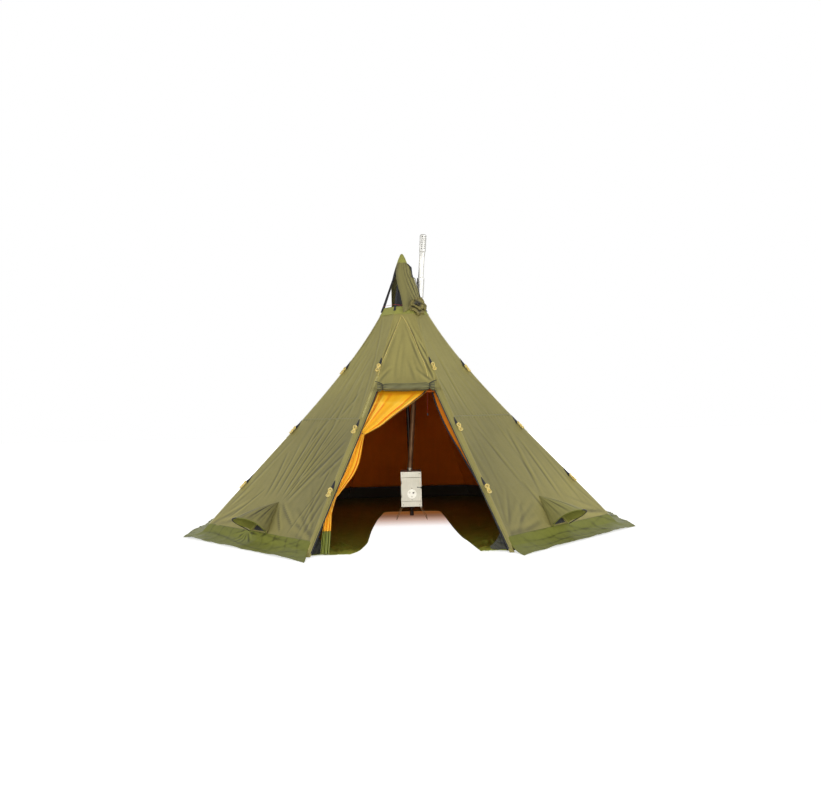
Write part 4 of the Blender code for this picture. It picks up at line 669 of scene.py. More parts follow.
def dress(name, finish):
    """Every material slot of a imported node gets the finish."""
    for slot in nodes[name].material_slots:
        slot.material = finish


for hard, finish in HARD_FINISHES.items():
    dress(hard, finish)
print("dressed", len(HARD_FINISHES), "packed nodes")

# %% [markdown]
# ## The shape of the tent
#
# Eight flat sides lean together under a rim hung from the pole. Each ridge hangs a little
# inside the straight line from hem to rim, because the cloth is pulled at both ends and
# carries its own weight. Every piece of cloth below starts from these few functions.

# %% Sides and ridges
SIDES = 8
HALF = math.pi / SIDES
HEM_RADIUS = 2.343
RIM_RADIUS = 0.251
HEM_HEIGHT = 0.05
RIM_HEIGHT = 2.45
FLARE = 0.108
FLARE_SKEW = 0.75
SIDE_BOW = 0.012
CLOTH = 0.0012
UP = np.array([0.0, 0.0, 1.0])


def ridge(height):
    """A straight line from hem to rim less a skewed parabola."""
    share = (np.asarray(height, float) - HEM_HEIGHT) / (RIM_HEIGHT - HEM_HEIGHT)
    hang = 4 * FLARE * share * (1 - share) * (1 + FLARE_SKEW * (2 * share - 1))
    return HEM_RADIUS + (RIM_RADIUS - HEM_RADIUS) * share - hang


def directions(side):
    """Straight out from a side, and level along it."""
    angle = side * 2 * HALF
    out = np.array([math.sin(angle), -math.cos(angle), 0.0])
    return out, np.array([math.cos(angle), math.sin(angle), 0.0])


def on_side(side, sideways, height, out=0.0, radius=ridge):
    """Points of a side: its distance from the middle, the sideways step and the height."""
    outward, along = directions(side)
    sideways, height, out = np.broadcast_arrays(*(np.asarray(v, float) for v in (sideways, height, out)))
    level = radius(height) * math.cos(HALF) + out
    return level[..., None] * outward + sideways[..., None] * along + height[..., None] * UP


def half_width(height, radius=ridge):
    return radius(height) * math.sin(HALF)


print("ridge radius at the hem, half way and the rim:", ridge([0.05, 1.25, 2.45]).round(3))

# %% [markdown]
# ### Creases
#
# Taut cloth creases where it is pulled: in long lines from the crown, from each guy point
# and from the pegs. A crease is a small valley with a ridge beside it. One could sculpt
# them, or simulate the cloth, but the photograph shows where the main ones run, so each
# is a line on the panel, with a width, a depth, and ends that fade.


# %% Creases along lines of a panel
def creases(sideways, height, lines, width=0.02, depth=0.004):
    """Sum over the lines of an odd bell: x times exp(-x squared), x the distance over width."""
    total = np.zeros(np.broadcast(sideways, height).shape)
    for x0, z0, x1, z1, *rest in lines:
        wide = rest[0] if rest else width
        deep = rest[1] if len(rest) > 1 else depth
        run = np.array([x1 - x0, z1 - z0])
        length = float(np.hypot(*run))
        dx, dz = run / length
        along = ((sideways - x0) * dx + (height - z0) * dz) / length
        bend = 0.012 * np.sin(3.1 * along + 9 * x0)
        off = (-(sideways - x0) * dz + (height - z0) * dx + bend) / wide
        fade = np.sin(math.pi * np.clip(along, 0, 1)) ** 0.7
        total = total + deep * fade * 2.33 * off * np.exp(-(off**2))
    return total


# lines as (sideways, height, sideways, height), with a width and depth where they differ
PHOTO_CREASES = {
    7: [
        (-0.233, 0.93, -0.125, 0.443), (-0.14, 1.12, -0.028, 0.433, 0.026, 0.006),
        (0.053, 1.1, 0.05, 0.438, 0.024, 0.007), (0.147, 1.16, 0.134, 0.413, 0.022, 0.006),
        (0.471, 0.98, 0.19, 0.387, 0.028, 0.007), (0.597, 0.87, 0.448, 0.6, 0.025, 0.005),
        (-0.347, 0.86, -0.213, 0.422, 0.02, 0.004), (-0.082, 2.37, 0.441, 1.209, 0.022, 0.003),
        (0.126, 1.713, 0.271, 1.178, 0.03, 0.003), (0.022, 1.319, -0.087, 0.794, 0.03, 0.005),
        (0.727, 0.478, 0.719, 0.12), (0.823, 0.481, 0.84, 0.123), (0.62, 0.5, 0.66, 0.13, 0.025, 0.004),
        (0.35, 0.8, 0.16, 0.4, 0.02, 0.004), (-0.05, 0.95, 0.0, 0.45, 0.018, 0.004),
        (-0.36, 1.08, -0.75, 0.2, 0.03, 0.0025), (0.25, 1.5, 0.1, 1.15, 0.03, 0.003),
        (0.3, 1.15, 0.1, 0.4, 0.014, 0.006), (0.4, 1.1, 0.15, 0.42, 0.012, 0.005),
        (0.2, 1.05, 0.08, 0.45, 0.012, 0.005),
        (-0.02, 1.1, 0.02, 0.44, 0.012, 0.005), (0.5, 0.8, 0.62, 0.16, 0.014, 0.004),
        (0.56, 0.6, 0.5, 0.14, 0.012, 0.004),
        (0.12, 0.36, 0.36, 0.15, 0.014, 0.005), (0.14, 0.4, 0.5, 0.2, 0.014, 0.004),
        (-0.3, 0.5, -0.62, 0.16, 0.014, 0.004),
    ],
    1: [
        (-0.091, 2.3, -0.329, 1.66, 0.02, 0.005), (-0.091, 1.85, -0.139, 1.179, 0.024, 0.0035),
        (0.206, 1.72, 0.6, 1.201, 0.03, 0.003), (-0.24, 1.1, -0.142, 0.495, 0.03, 0.004),
        (-0.142, 0.55, -0.039, 0.1, 0.03, 0.004), (0.269, 1.05, -0.0, 0.374, 0.03, 0.005),
        (0.332, 0.96, 0.282, 0.33, 0.028, 0.005), (-0.776, 0.5, -0.856, 0.105, 0.022, 0.004),
        (-0.768, 0.134, -0.261, 0.217, 0.03, 0.004), (-0.5, 1.2, -0.62, 0.5, 0.035, 0.003),
        (-0.72, 0.14, -0.42, 0.33, 0.03, 0.004), (-0.3, 1.62, -0.34, 1.25, 0.02, 0.003),
        (0.5, 0.9, 0.62, 0.25, 0.03, 0.003), (-0.25, 2.0, -0.4, 1.5, 0.016, 0.003),
    ],
}


def drawn_creases(side):
    """A side's own lines: from the crown down, and in from its two lower corners."""
    draw = np.random.default_rng(300 + side)
    lines = []
    for _ in range(9):
        top, foot = draw.uniform(-0.8, 0.8), draw.uniform(-0.8, 0.8)
        high = draw.uniform(1.3, 2.35)
        low = high - draw.uniform(0.6, 1.1)
        foot = 0.6 * top + 0.4 * foot
        lines.append((
            top * float(half_width(high)), high, foot * float(half_width(low)), low,
            draw.uniform(0.018, 0.04), draw.uniform(0.001, 0.0026),
        ))
    for hand in (-1, 1):
        corner = hand * 0.95 * float(half_width(0.12))
        for reach in draw.uniform(0.25, 0.7, 5):
            lean = draw.uniform(0.15, 1.25)
            lines.append((
                corner, 0.12, corner - hand * reach * math.cos(lean), 0.12 + reach * math.sin(lean),
                0.022, draw.uniform(0.0012, 0.003),
            ))
    return lines


def crumples(x, y, seed, lines=7, spacing=0.12, sharp=2.0):
    """Crumpled cloth, 0 to 1: sharp valleys, (1 - |sin|) to a power, in several directions."""
    draw = np.random.default_rng(seed)
    total = np.zeros(np.broadcast(x, y).shape)
    weights = 0.0
    for _ in range(lines):
        angle, turn = draw.uniform(0, math.pi), draw.uniform(0, 6.28, 3)
        gap = spacing * draw.uniform(0.6, 1.7)
        across = x * math.cos(angle) + y * math.sin(angle)
        along = y * math.cos(angle) - x * math.sin(angle)
        wander = 0.5 * np.sin(along / gap * 0.9 + turn[0]) + 0.3 * np.sin(along / gap * 2.1 + turn[1])
        weight = draw.uniform(0.4, 1.0) * (0.5 + 0.5 * np.sin(along / gap * 0.7 + turn[2]))
        total = total + weight * (1 - np.abs(np.sin(math.pi * across / gap + wander))) ** sharp
        weights += 0.7
    return total / weights * 1.6


MIDDLE_SEAM = 1.186
SKIRT_SEAM = 0.125


def wall_out(side, sideways, height):
    """How far a wall stands out from its flat side: bow, creases and seam pucker."""
    share = np.clip((height - HEM_HEIGHT) / (RIM_HEIGHT - HEM_HEIGHT), 0, 1)
    across = np.clip(sideways / half_width(height), -1, 1)
    inside = 1 - across**2
    bow = -SIDE_BOW * inside * np.sin(math.pi * share)
    lines = drawn_creases(side) + PHOTO_CREASES.get(side, [])
    pulled = (0.8 if side == 1 else 1.15) * creases(sideways, height, lines)
    slow = 0.004 * np.sin(5.1 * sideways + 1.7 * side) * np.sin(3.3 * height + side)
    near = np.exp(-(((height - MIDDLE_SEAM) / 0.03) ** 2))
    pucker = 0.0012 * near * np.sin(2 * math.pi * sideways / 0.047)
    return bow + (pulled + slow + pucker) * np.clip(6 * inside, 0, 1)


print("crease lines on side 7:", len(drawn_creases(7) + PHOTO_CREASES[7]))

# %% [markdown]
# ### Wall panels
#
# A wall panel is a tall triangle with its tip cut off, sewn to its neighbours along the
# ridges. A subdivided plane could be bent into it. Here the grid narrows with the ridge
# function and takes its relief from the creases, fine enough to show them from near.

# %% Sew the seven walls
WALL_COLUMNS = 131
WALL_LINES = 161


def wall_grid(side, columns=WALL_COLUMNS, lines=WALL_LINES, low=HEM_HEIGHT, high=RIM_HEIGHT, lift=0.0):
    height = np.linspace(low, high, lines)[:, None]
    sideways = np.linspace(-1, 1, columns)[None, :] * half_width(height)
    out = wall_out(side, sideways, height) + lift
    return on_side(side, sideways, height, out)


def side_relief(side, grid):
    """How far a side's points stand out from the axis: the grid's own relief."""
    return grid @ directions(side)[0]


for side in range(1, SIDES):
    grid = wall_grid(side)
    relief = side_relief(side, grid)
    relief = relief - relief[:, :1]
    wall = surface(
        f"wall_{side}", grid, outer_cloth, away_from=(0, 0, 1.0), folds=fold_depth(relief, 3, 0.0028)
    )
    thicken(wall, CLOTH)
    wear(wall, "tent", "canvas", f"fly_side_{side}")
print("a wall has", WALL_COLUMNS * WALL_LINES, "points")

# %% [markdown]
# ### Seams
#
# Two panels are folded into each other and sewn twice, which leaves a flat band that
# stands a little proud. Along the ridges it is folded over the edge; half way up, a
# level seam joins the upper and the lower cloth of each panel. A band with its own
# cloth coordinates lets the stitches run exactly along it.


# %% Sew the seams
SEAM_HALF = 0.014
TAB_HEIGHTS = (0.614, 1.182, 1.84)


def ridge_turn(number):
    """The turn about Z that brings the ridge facing -Y to its place."""
    angle = (2 * number + 1) * HALF
    cos, sin = math.cos(angle), math.sin(angle)
    return np.array([[cos, sin, 0], [-sin, cos, 0], [0, 0, 1.0]])


def ridge_seam(number):
    """A band bent over the ridge: a tent-shaped profile with a rounded top."""
    height = np.linspace(HEM_HEIGHT + 0.004, RIM_HEIGHT - 0.002, 150)[:, None]
    across = np.linspace(-1, 1, 9)[None, :] * SEAM_HALF
    pucker = 0.0005 * np.sin(2 * math.pi * height / 0.031 + number)
    round_top = np.sqrt(across**2 + 0.003**2)
    out = 0.0034 - round_top * math.tan(HALF) + pucker - 0.0012 * (across / SEAM_HALF) ** 4
    grid = grid_of(across, -(ridge(height) + out), height)
    return grid @ ridge_turn(number)


for number in range(SIDES):
    finish = gable_cloth if number in (0, 7) else seam_cloth
    seam = surface(f"ridge_seam_{number + 1}", ridge_seam(number), finish, away_from=(0, 0, 1.0))
    thicken(seam, 0.001)
    wear(seam, "tent", "canvas", f"ridge_strap_{number + 1}")
for side in range(1, SIDES):
    grid = wall_grid(side, 131, 4, MIDDLE_SEAM - 0.009, MIDDLE_SEAM + 0.009, 0.0006)
    seam = surface(f"middle_seam_{side}", grid.transpose(1, 0, 2), hem_seam, away_from=(0, 0, 0.5))
    thicken(seam, 0.0008, 1.0)
    wear(seam, "tent", "canvas")
print("sewed", SIDES, "ridges and", SIDES - 1, "level seams")

# %% [markdown]
# ### Snow skirt
#
# A strip of lighter, greener cloth is sewn to the wall a hand's breadth above the ground.
# It falls to the grass and lies outwards, held down by stones or snow, so it never lies
# flat. Its path down is a bend from steep to level; waves and small creases ride on it,
# growing towards the free edge.

# %% Lay the skirts
SKIRT_WIDTH = 0.2
SKIRT_RISE = 0.026
SKIRT_CORNER = 0.12


def skirt_grid(side, columns=171, lines=34):
    """Rows from the seam on the wall, down to the hem and out along the ground."""
    draw = np.random.default_rng(40 + side)
    down = np.linspace(0, 1, lines)[:, None]
    across = np.linspace(-1, 1, columns)[None, :]
    fall = np.clip(down / 0.32, 0, 1)
    out = np.clip((down - 0.32) / 0.68, 0, 1)
    past = SKIRT_CORNER * out * np.clip((across - 0.86) / 0.14, 0, 1) if side == 7 else 0.0
    height = SKIRT_SEAM + (HEM_HEIGHT - SKIRT_SEAM) * fall
    height = height - (HEM_HEIGHT - 0.003) * (1 - (1 - out) ** 2.2)
    corner = ridge(np.maximum(height, HEM_HEIGHT)) + 0.003 * np.minimum(1, 8 * down) + SKIRT_WIDTH * out
    sideways = across * corner * math.sin(HALF) + past
    inside = np.clip(4 * (1 - across**2), 0, 1)
    waves = np.zeros_like(sideways + height)
    for count, share in ((2.5, 0.5), (5.3, 0.3), (9.1, 0.2), (17.0, 0.09)):
        turn = draw.uniform(0, 6.28)
        waves += share * np.cos(math.pi * count * across + turn + 2.4 * down)
    # metres along the skirt, and down it
    x, y = across * 0.9, down * 0.29
    big = crumples(x, 2.2 * y, 500 + side, 6, 0.30, 3.0)
    fine = crumples(x, y, 600 + side, 7, 0.11, 2.5)
    level = crumples(0.25 * x, y, 700 + side, 4, 0.07, 3.0)
    folds = 0.015 * big + 0.0016 * fine + 0.0028 * level
    if side == 7:
        knot = [
            (-0.12, 0.0, -0.12 + 0.2 * math.cos(t), 0.2 * math.sin(t), 0.013, 0.006)
            for t in np.linspace(0.2, 2.9, 6)
        ]
        folds = folds + creases(x, y, knot)
    rise = (0.5 + 0.5 * waves) * SKIRT_RISE * out * (1.15 - 0.5 * out) * inside
    proud = 0.0015 + (folds * (0.4 + 0.6 * down) + 0.004 * (waves + 0.4) * fall * (1 - out)) * inside
    height = np.maximum(height + rise + 1.3 * folds * out * inside, 0.002)
    edge = 0.006 * out * (waves - 0.6) * inside
    level = corner * math.cos(HALF) + proud * (1 - 0.5 * out) + edge
    outward, along = directions(side)
    laid = level[..., None] * outward + sideways[..., None] * along + height[..., None] * UP
    # painted shade in the skirt's fold valleys, made deeper where the cloth is pushed in
    return laid, np.clip(fold_depth(-folds * inside, 5, 0.005) + 22 * np.maximum(-folds, 0) * inside, -1, 1)


for side in range(1, SIDES):
    laid, hidden = skirt_grid(side)
    skirt = surface(f"skirt_{side}", laid, skirt_cloth, away_from=(0, 0, -1.0), folds=hidden)
    thicken(skirt, CLOTH)
    wear(skirt, "tent", "canvas")
print("laid", SIDES - 1, "skirts")

# %% [markdown]
# ### Gable
#
# Above the doorway the cloth is not stretched to the ground, so it hangs in a few soft
# folds from the crown and from the two ends of the rolled door. The folds are cosines
# across the gable that fade at its edges, with the photograph's own creases on top.

# %% Hang the gable
DOOR_TOP = 1.49
GABLE_CREASES = [
    (0.03, 2.32, 0.3, 1.62, 0.016, 0.006), (0.0, 2.3, 0.24, 1.6, 0.02, 0.004),
    (-0.05, 2.3, -0.3, 1.62, 0.016, 0.004), (-0.1, 2.28, -0.33, 1.66, 0.014, 0.003),
    (0.08, 2.2, 0.34, 1.7, 0.014, 0.005), (-0.02, 2.1, -0.1, 1.6, 0.03, 0.003),
    (0.31, 1.53, 0.1, 1.72, 0.02, 0.003), (0.31, 1.53, 0.2, 1.85, 0.016, 0.004),
    (-0.31, 1.54, -0.14, 1.75, 0.02, 0.003), (0.31, 1.53, 0.34, 1.8, 0.014, 0.004),
    (0.04, 1.9, 0.12, 1.56, 0.03, 0.003),
]


def gable_out(sideways, height):
    share = np.clip((height - DOOR_TOP) / 0.78, 0, 1)
    across = np.clip(sideways / half_width(height), -1, 1)
    fade = np.sin(math.pi * share) ** 0.7 * (1 - across**2)
    fold = 0.007 * fade * (np.cos(3.5 * math.pi * (across - 0.25 * share)) - 1) * 0.7
    inside = np.clip(5 * (1 - across**2), 0, 1)
    return fold + 1.3 * creases(sideways, height, GABLE_CREASES) * inside * np.clip(share * 8, 0, 1)


height = np.linspace(DOOR_TOP, RIM_HEIGHT, 111)[:, None]
sideways = np.linspace(-1, 1, 111)[None, :] * half_width(height)
relief = gable_out(sideways, height)
gable = surface(
    "gable", on_side(0, sideways, height, relief), gable_cloth, away_from=(0, 0, 1.5),
    folds=fold_depth(relief, 5, 0.004),
)
thicken(gable, CLOTH)
wear(gable, "tent", "canvas", "fly_gable")
print("the gable is", round(float(2 * half_width(DOOR_TOP)), 3), "m wide at its foot")

# %% [markdown]
# ### Door edges
#
# A narrow strip of cloth runs down each side of the doorway, and carries the zip that
# closes the outer door. The strip is a surface like the walls; the zip is a dark tape
# with a coil, whose teeth are a wave along the cord.

# %% Sew the door edges and their zips
JAMB_TOP_WIDTH = 0.082
JAMB_FOOT_WIDTH = 0.045


def jamb_width(height):
    return JAMB_FOOT_WIDTH + (JAMB_TOP_WIDTH - JAMB_FOOT_WIDTH) * height / DOOR_TOP


def jamb_out(height, share):
    """The strip is loose at its free edge and puckers a little."""
    return 0.003 * share * np.sin(9 * height + 2 * share) + 0.0015 * share * np.sin(31 * height)


for name, hand in (("left", -1), ("right", 1)):
    height = np.linspace(0.002, DOOR_TOP - 0.0005, 150)[:, None]
    share = np.linspace(0, 1, 13)[None, :]
    reach = half_width(height) - share * jamb_width(height)
    grid = on_side(0, hand * reach, height, jamb_out(height, share))
    jamb = surface(f"door_edge_{name}", grid, gable_cloth, away_from=(0, 0, 1.0))
    thicken(jamb, CLOTH)
    wear(jamb, "tent", "canvas", f"door_jamb_{name}")
    height = np.linspace(0.03, DOOR_TOP - 0.02, 130)
    for part, inset, half, finish in (("tape", 0.006, 0.006, black_webbing), ("hem", 0.024, 0.004, hem_seam)):
        reach = half_width(height) - jamb_width(height) + inset
        share = 1 - inset / jamb_width(height)
        across = np.linspace(-half, half, 5)[None, :]
        grid = on_side(
            0, hand * reach[:, None] + across, height[:, None],
            (jamb_out(height, share) + 0.0006)[:, None],
        )
        strip = surface(f"door_{part}_{name}", grid, finish, away_from=(0, 0, 1.0))
        thicken(strip, 0.0008, 1.0)
        wear(strip, "tent", "webbing" if part == "tape" else "canvas")
    tooth = np.linspace(0, len(height) - 1, 560)
    high = np.interp(tooth, np.arange(len(height)), height)
    reach = half_width(high) - jamb_width(high) + 0.002
    coil = on_side(0, hand * reach, high, jamb_out(high, 0.97) + 0.002)
    teeth = tube(f"door_zip_{name}", coil, 0.0016 + 0.0007 * np.sin(np.arange(560) * 2.1), black_plastic, 6)
    wear(teeth, "tent", "plastic")
height = np.linspace(1.2, 1.7, 90)
for part, inset, half in (("outer", 0.012, 0.0022), ("inner", 0.026, 0.0022)):
    across = np.linspace(-half, half, 3)[None, :]
    high = height[:, None]
    out = np.where(high > DOOR_TOP, gable_out(-half_width(high) + inset, high), jamb_out(high, 0.2)) + 0.0012
    grid = on_side(0, -(half_width(high) - inset) + across, high, out)
    tape = surface(f"left_zip_{part}", grid, gold_tape, away_from=(0, 0, 1.0))
    thicken(tape, 0.0012, 1.0)
    wear(tape, "tent", "canvas")
tooth = np.linspace(1.2, 1.7, 420)
out = np.where(tooth > DOOR_TOP, gable_out(-half_width(tooth) + 0.019, tooth), jamb_out(tooth, 0.2)) + 0.0022
coil = on_side(0, -(half_width(tooth) - 0.019 + 0.0022 * np.sin(np.arange(420) * 1.9)), tooth, out)
teeth = tube("left_zip_teeth", coil, 0.0013, gold_tape, 6)
wear(teeth, "tent", "plastic")
print("door edges are", JAMB_FOOT_WIDTH, "to", JAMB_TOP_WIDTH, "m wide")

# %% [markdown]
# ### Rolled door
#
# The outer door is rolled up and tied under the gable. A roll of cloth is a spiral, loose
# at its ends and squeezed at each tie. The surface below turns several times round while
# its radius shrinks, so the layers show at both ends, as they do on a real roll.

# %% Roll up the outer door
ROLL_RADIUS = 0.043
ROLL_HEIGHT = 1.51
ROLL_LENGTH = 0.6
TIE_INSET = 0.055
ROLL_TURNS = 4.3


def roll_centre():
    step = 0.02
    slope = float(ridge(ROLL_HEIGHT - step) - ridge(ROLL_HEIGHT + step)) * math.cos(HALF) / (2 * step)
    clear = (ROLL_RADIUS * 1.1 * 0.945 + 0.0003) * math.hypot(1, slope)
    return -(float(ridge(ROLL_HEIGHT)) * math.cos(HALF) + clear), ROLL_HEIGHT


def roll_grid(columns=150, around=190):
    """Along the roll by round the spiral; ties pinch it, and pleats run out from them."""
    x = np.linspace(-ROLL_LENGTH / 2, ROLL_LENGTH / 2, columns)[:, None]
    turn = np.linspace(0, 2 * math.pi * ROLL_TURNS, around)[None, :]
    tie = ROLL_LENGTH / 2 - TIE_INSET
    near = np.exp(-(((np.abs(x) - tie) / 0.017) ** 2))
    flare = np.clip((np.abs(x) - tie - 0.01) / 0.045, 0, 1)
    radius = ROLL_RADIUS * (1 - 0.34 * near + 0.2 * flare)
    layer = 1 - 0.78 * turn / turn.max()
    pleats = 0.11 * np.exp(-(((np.abs(x) - tie) / 0.05) ** 2)) * np.cos(9 * turn + 1.5 * np.sign(x))
    wrinkle = 0.03 * np.sin(11 * x + 2 * turn) * np.cos(23 * x - turn) + 0.02 * np.sin(47 * x + 3 * turn)
    outer = np.clip(1.3 - turn / (2 * math.pi), 0, 1)
    shape = layer * (1 + (pleats + wrinkle * (1 - near)) * outer)
    droop = -0.006 * np.cos(math.pi * x / ROLL_LENGTH) ** 2
    y, z = roll_centre()
    shift = 0.004 * layer * np.sin(5 * turn) * np.sign(x) * (np.abs(x) > tie)
    start = 0.35
    laid = grid_of(
        x + shift,
        y - radius * shape * np.sin(turn + start),
        z + droop + radius * shape * np.cos(turn + start),
    )
    # painted shade at the ties, and painted shade on one side of the roll with a painted highlight on the
    # other
    hidden = -14 * (pleats + 0.6 * wrinkle) * outer + 0.5 * near
    hidden = hidden + 0.35 * np.sin(turn + start - 1.2) ** 3 * outer
    return laid, np.clip(hidden + np.zeros_like(laid[..., 0]), -1, 1)


laid, hidden = roll_grid()
roll = surface("rolled_door", laid, roll_cloth, folds=hidden)
thicken(roll, CLOTH, 0.0)
wear(roll, "tent", "canvas", "door_roll")
print("the roll turns", ROLL_TURNS, "times")

# %% [markdown]
# ### Roll ties
#
# A short strap holds each end of the roll. It is a flat band round the pinched place,
# and its two short ends stand out from the knot.

# %% Tie the roll
roll_y, roll_z = roll_centre()
for name, hand in (("left", -1), ("right", 1)):
    turn = np.linspace(0, 2 * math.pi, 40, endpoint=False)[None, :]
    x = hand * (ROLL_LENGTH / 2 - TIE_INSET) + np.linspace(-0.0022, 0.0022, 3)[:, None]
    radius = ROLL_RADIUS * 0.72 + 0.0015 * np.cos(9 * turn)
    ring = grid_of(x, roll_y - radius * np.sin(turn), roll_z + radius * np.cos(turn))
    band = surface(f"roll_band_{name}", ring, black_webbing, wrap=True, away_from=(0, roll_y, roll_z))
    thicken(band, 0.0014, 1.0)
    wear(band, "tent", "webbing", f"roll_tie_{name}")
    # two short ends stand out from the knot, one towards the ridge
    knot = np.array([
        hand * (ROLL_LENGTH / 2 - TIE_INSET), roll_y - ROLL_RADIUS * 0.55,
        roll_z + ROLL_RADIUS * 0.72,
    ])
    for part, reach in enumerate(((hand * 0.075, -0.012, 0.03), (hand * 0.012, -0.026, -0.03))):
        share = np.linspace(0, 1, 14)[:, None]
        line = knot + share * np.array(reach) + np.sin(math.pi * share) * np.array([0.0, -0.008, 0.004])
        across = np.linspace(-0.004, 0.004, 3)[None, :, None] * np.array([0.0, 0.3, 0.95])
        end = surface(
            f"roll_tail_{name}_{part}", line[:, None] + across, black_webbing,
            away_from=(0, roll_y + 0.1, roll_z),
        )
        thicken(end, 0.0014, 1.0)
        wear(end, "tent", "webbing")
print("tied at", ROLL_LENGTH / 2 - TIE_INSET, "m either side of the middle")

# %% [markdown]
# ### Guy tabs and hanks
#
# Every ridge carries three guy points. Each is a black webbing triangle sewn over the
# ridge, with its guy line stowed in a hank: long loops laid side by side, drawn in at the
# waist by a few turns of the same line. The hank is one unbroken cord, so it is one path:
# loops first, then the wrapping, then a short end tucked away.

# %% Sew the tabs and stow the guy lines
TAB_LENGTH = 0.12
GUY_DIAMETER = 0.0035
HANK_LENGTH = 0.098
HANK_TURNS = 6
HANK_PITCH = 0.0026


def slope_frame(height):
    """Down the ridge facing -Y and straight out from it."""
    run = float(ridge(height - 0.02) - ridge(height + 0.02))
    down = np.array([0.0, -run, -0.04]) / math.hypot(run, 0.04)
    return down, np.array([0.0, down[2], -down[1]])


def ridge_point(height, out=0.0):
    return np.array([0.0, -(float(ridge(height)) + out), height])


def tab_grid(height, flop):
    """A strap that widens downwards, bent over the ridge above; its end flops to one side."""
    down, out = slope_frame(height)
    share = np.linspace(0, 1, 16)[:, None]
    across = np.linspace(-1, 1, 9)[None, :]
    half = 0.004 + 0.017 * share**0.8
    lift = 0.0022 + 0.012 * np.clip((share - 0.45) / 0.55, 0, 1) ** 1.5
    fold = np.abs(across * half + flop * share**1.5) * math.tan(HALF) * 0.95
    base = ridge_point(height)
    return (
        base + share[..., None] * TAB_LENGTH * down + (lift - fold)[..., None] * out
        + (across * half + flop * share**1.5)[..., None] * np.array([1.0, 0, 0])
    )


def hank_path(height, draw, flop):
    """Loops: along is half the length times (1 - cos), across is a sine pinched in the middle."""
    down, out = slope_frame(height)
    top = ridge_point(height, 0.0) + down * (TAB_LENGTH - 0.014)
    top = top + out * (0.0125 - 0.9 * abs(flop) * math.tan(HALF)) + np.array([flop, 0, 0])
    turn = np.linspace(0, 2 * math.pi * (HANK_TURNS + 0.25), 20 * HANK_TURNS + 5)
    number = turn / (2 * math.pi)
    wide = 0.025 + 0.015 * np.sin(2.4 * number + draw.uniform(0, 6))
    long = HANK_LENGTH * (1 + 0.05 * np.sin(3.7 * number + draw.uniform(0, 6)))
    across = wide * np.sin(turn) * (1 - 0.72 * np.sin(turn) ** 4)
    along = long / 2 * (1 - np.cos(turn)) + (HANK_LENGTH - long) / 2
    deep = HANK_PITCH * number + 0.004 * np.cos(turn) ** 2
    points = top + along[:, None] * down + deep[:, None] * out + across[:, None] * np.array([1.0, 0, 0])
    # the wrapping: an oval round the waist that climbs a cord's width each turn
    wraps = 3.6
    around = np.linspace(0, 2 * math.pi * wraps, 34)
    start = points[-1]
    middle = top + down * (HANK_LENGTH / 2) + out * (HANK_PITCH * HANK_TURNS / 2)
    side_reach = float((start - middle) @ np.array([1.0, 0, 0])) + 0.0045
    deep_reach = HANK_PITCH * HANK_TURNS / 2 + 0.0065
    ring = (
        middle + (side_reach * np.cos(around))[:, None] * np.array([1.0, 0, 0])
        + (deep_reach * np.sin(around))[:, None] * out
        + (GUY_DIAMETER * 1.08 * (around / (2 * math.pi) + 0.35))[:, None] * down
    )
    tail = ring[-1] + np.linspace(0, 1, 6)[1:, None] * (
        0.03 * down + draw.uniform(-0.02, 0.02) * np.array([1.0, 0, 0]) + 0.004 * out
    )
    return np.concatenate([points, ring, tail])


hank_lengths = []
for number in range(SIDES):
    draw = np.random.default_rng(80 + number)
    turn = ridge_turn(number)
    for row, height in enumerate(TAB_HEIGHTS):
        flop = {1: -0.038, 6: 0.026}.get(number, draw.uniform(-0.012, 0.012))
        tab = surface(
            f"guy_tab_{number + 1}_{row + 1}", tab_grid(height, flop) @ turn, black_webbing,
            away_from=(0, 0, 0),
        )
        thicken(tab, 0.0016, 1.0)
        wear(tab, "tent", "webbing")
        path = smooth_path(hank_path(height, draw, flop) @ turn, 250)
        name = f"guy_hank_{number + 1}_{row + 1}"
        hank = tube(name, path, GUY_DIAMETER / 2, guy_cord, 6)
        wear(hank, "tent", "cord")
        length = path_length(path)
        hank_lengths.append(length)
print("guy lines in a hank:", round(min(hank_lengths), 2), "to", round(max(hank_lengths), 2), "m")

# %% [markdown]
# ## The crown
#
# The eight walls end in a lime band. Eight black straps hang it from a round patch on
# the pole's head, which leaves a hole for smoke. The band is the walls' own top edge
# again, a little further out, all the way round.

# %% Sew the rim band and the crown straps
RIM_BAND = 0.09
POLE_HEAD = np.array([-0.012, 0.0, 2.94])
PATCH_RADIUS = 0.0575


def ring_round(height, out, columns=14):
    """All eight sides in one row: each side's points from its left ridge to its right one."""
    share = np.linspace(-1, 1, columns, endpoint=False)
    sides = []
    for side in range(SIDES):
        sideways = share[None, :] * half_width(height)
        bow = wall_out(side, sideways, height) if side else gable_out(sideways, height)
        sides.append(on_side(side, sideways, height, 0.3 * bow + out))
    return np.concatenate(sides, axis=1)


height = np.linspace(RIM_HEIGHT - RIM_BAND, RIM_HEIGHT + 0.003, 12)[:, None]
wavy = 0.0026 + 0.0009 * np.sin(57 * height)
rim = surface("rim_band", ring_round(height, wavy), lime_cloth, wrap=True, away_from=(0, 0, 2.0))
thicken(rim, 0.0014, 1.0)
wear(rim, "tent", "lime", "crown_rim")
for row, level in enumerate((RIM_HEIGHT - RIM_BAND + 0.004, RIM_HEIGHT - 0.004)):
    height = np.array([level - 0.004, level + 0.004])[:, None]
    hem = surface(f"rim_hem_{row}", ring_round(height, 0.0045), lime_cloth, wrap=True, away_from=(0, 0, 2.0))
    thicken(hem, 0.0008, 1.0)
    wear(hem, "tent", "lime")

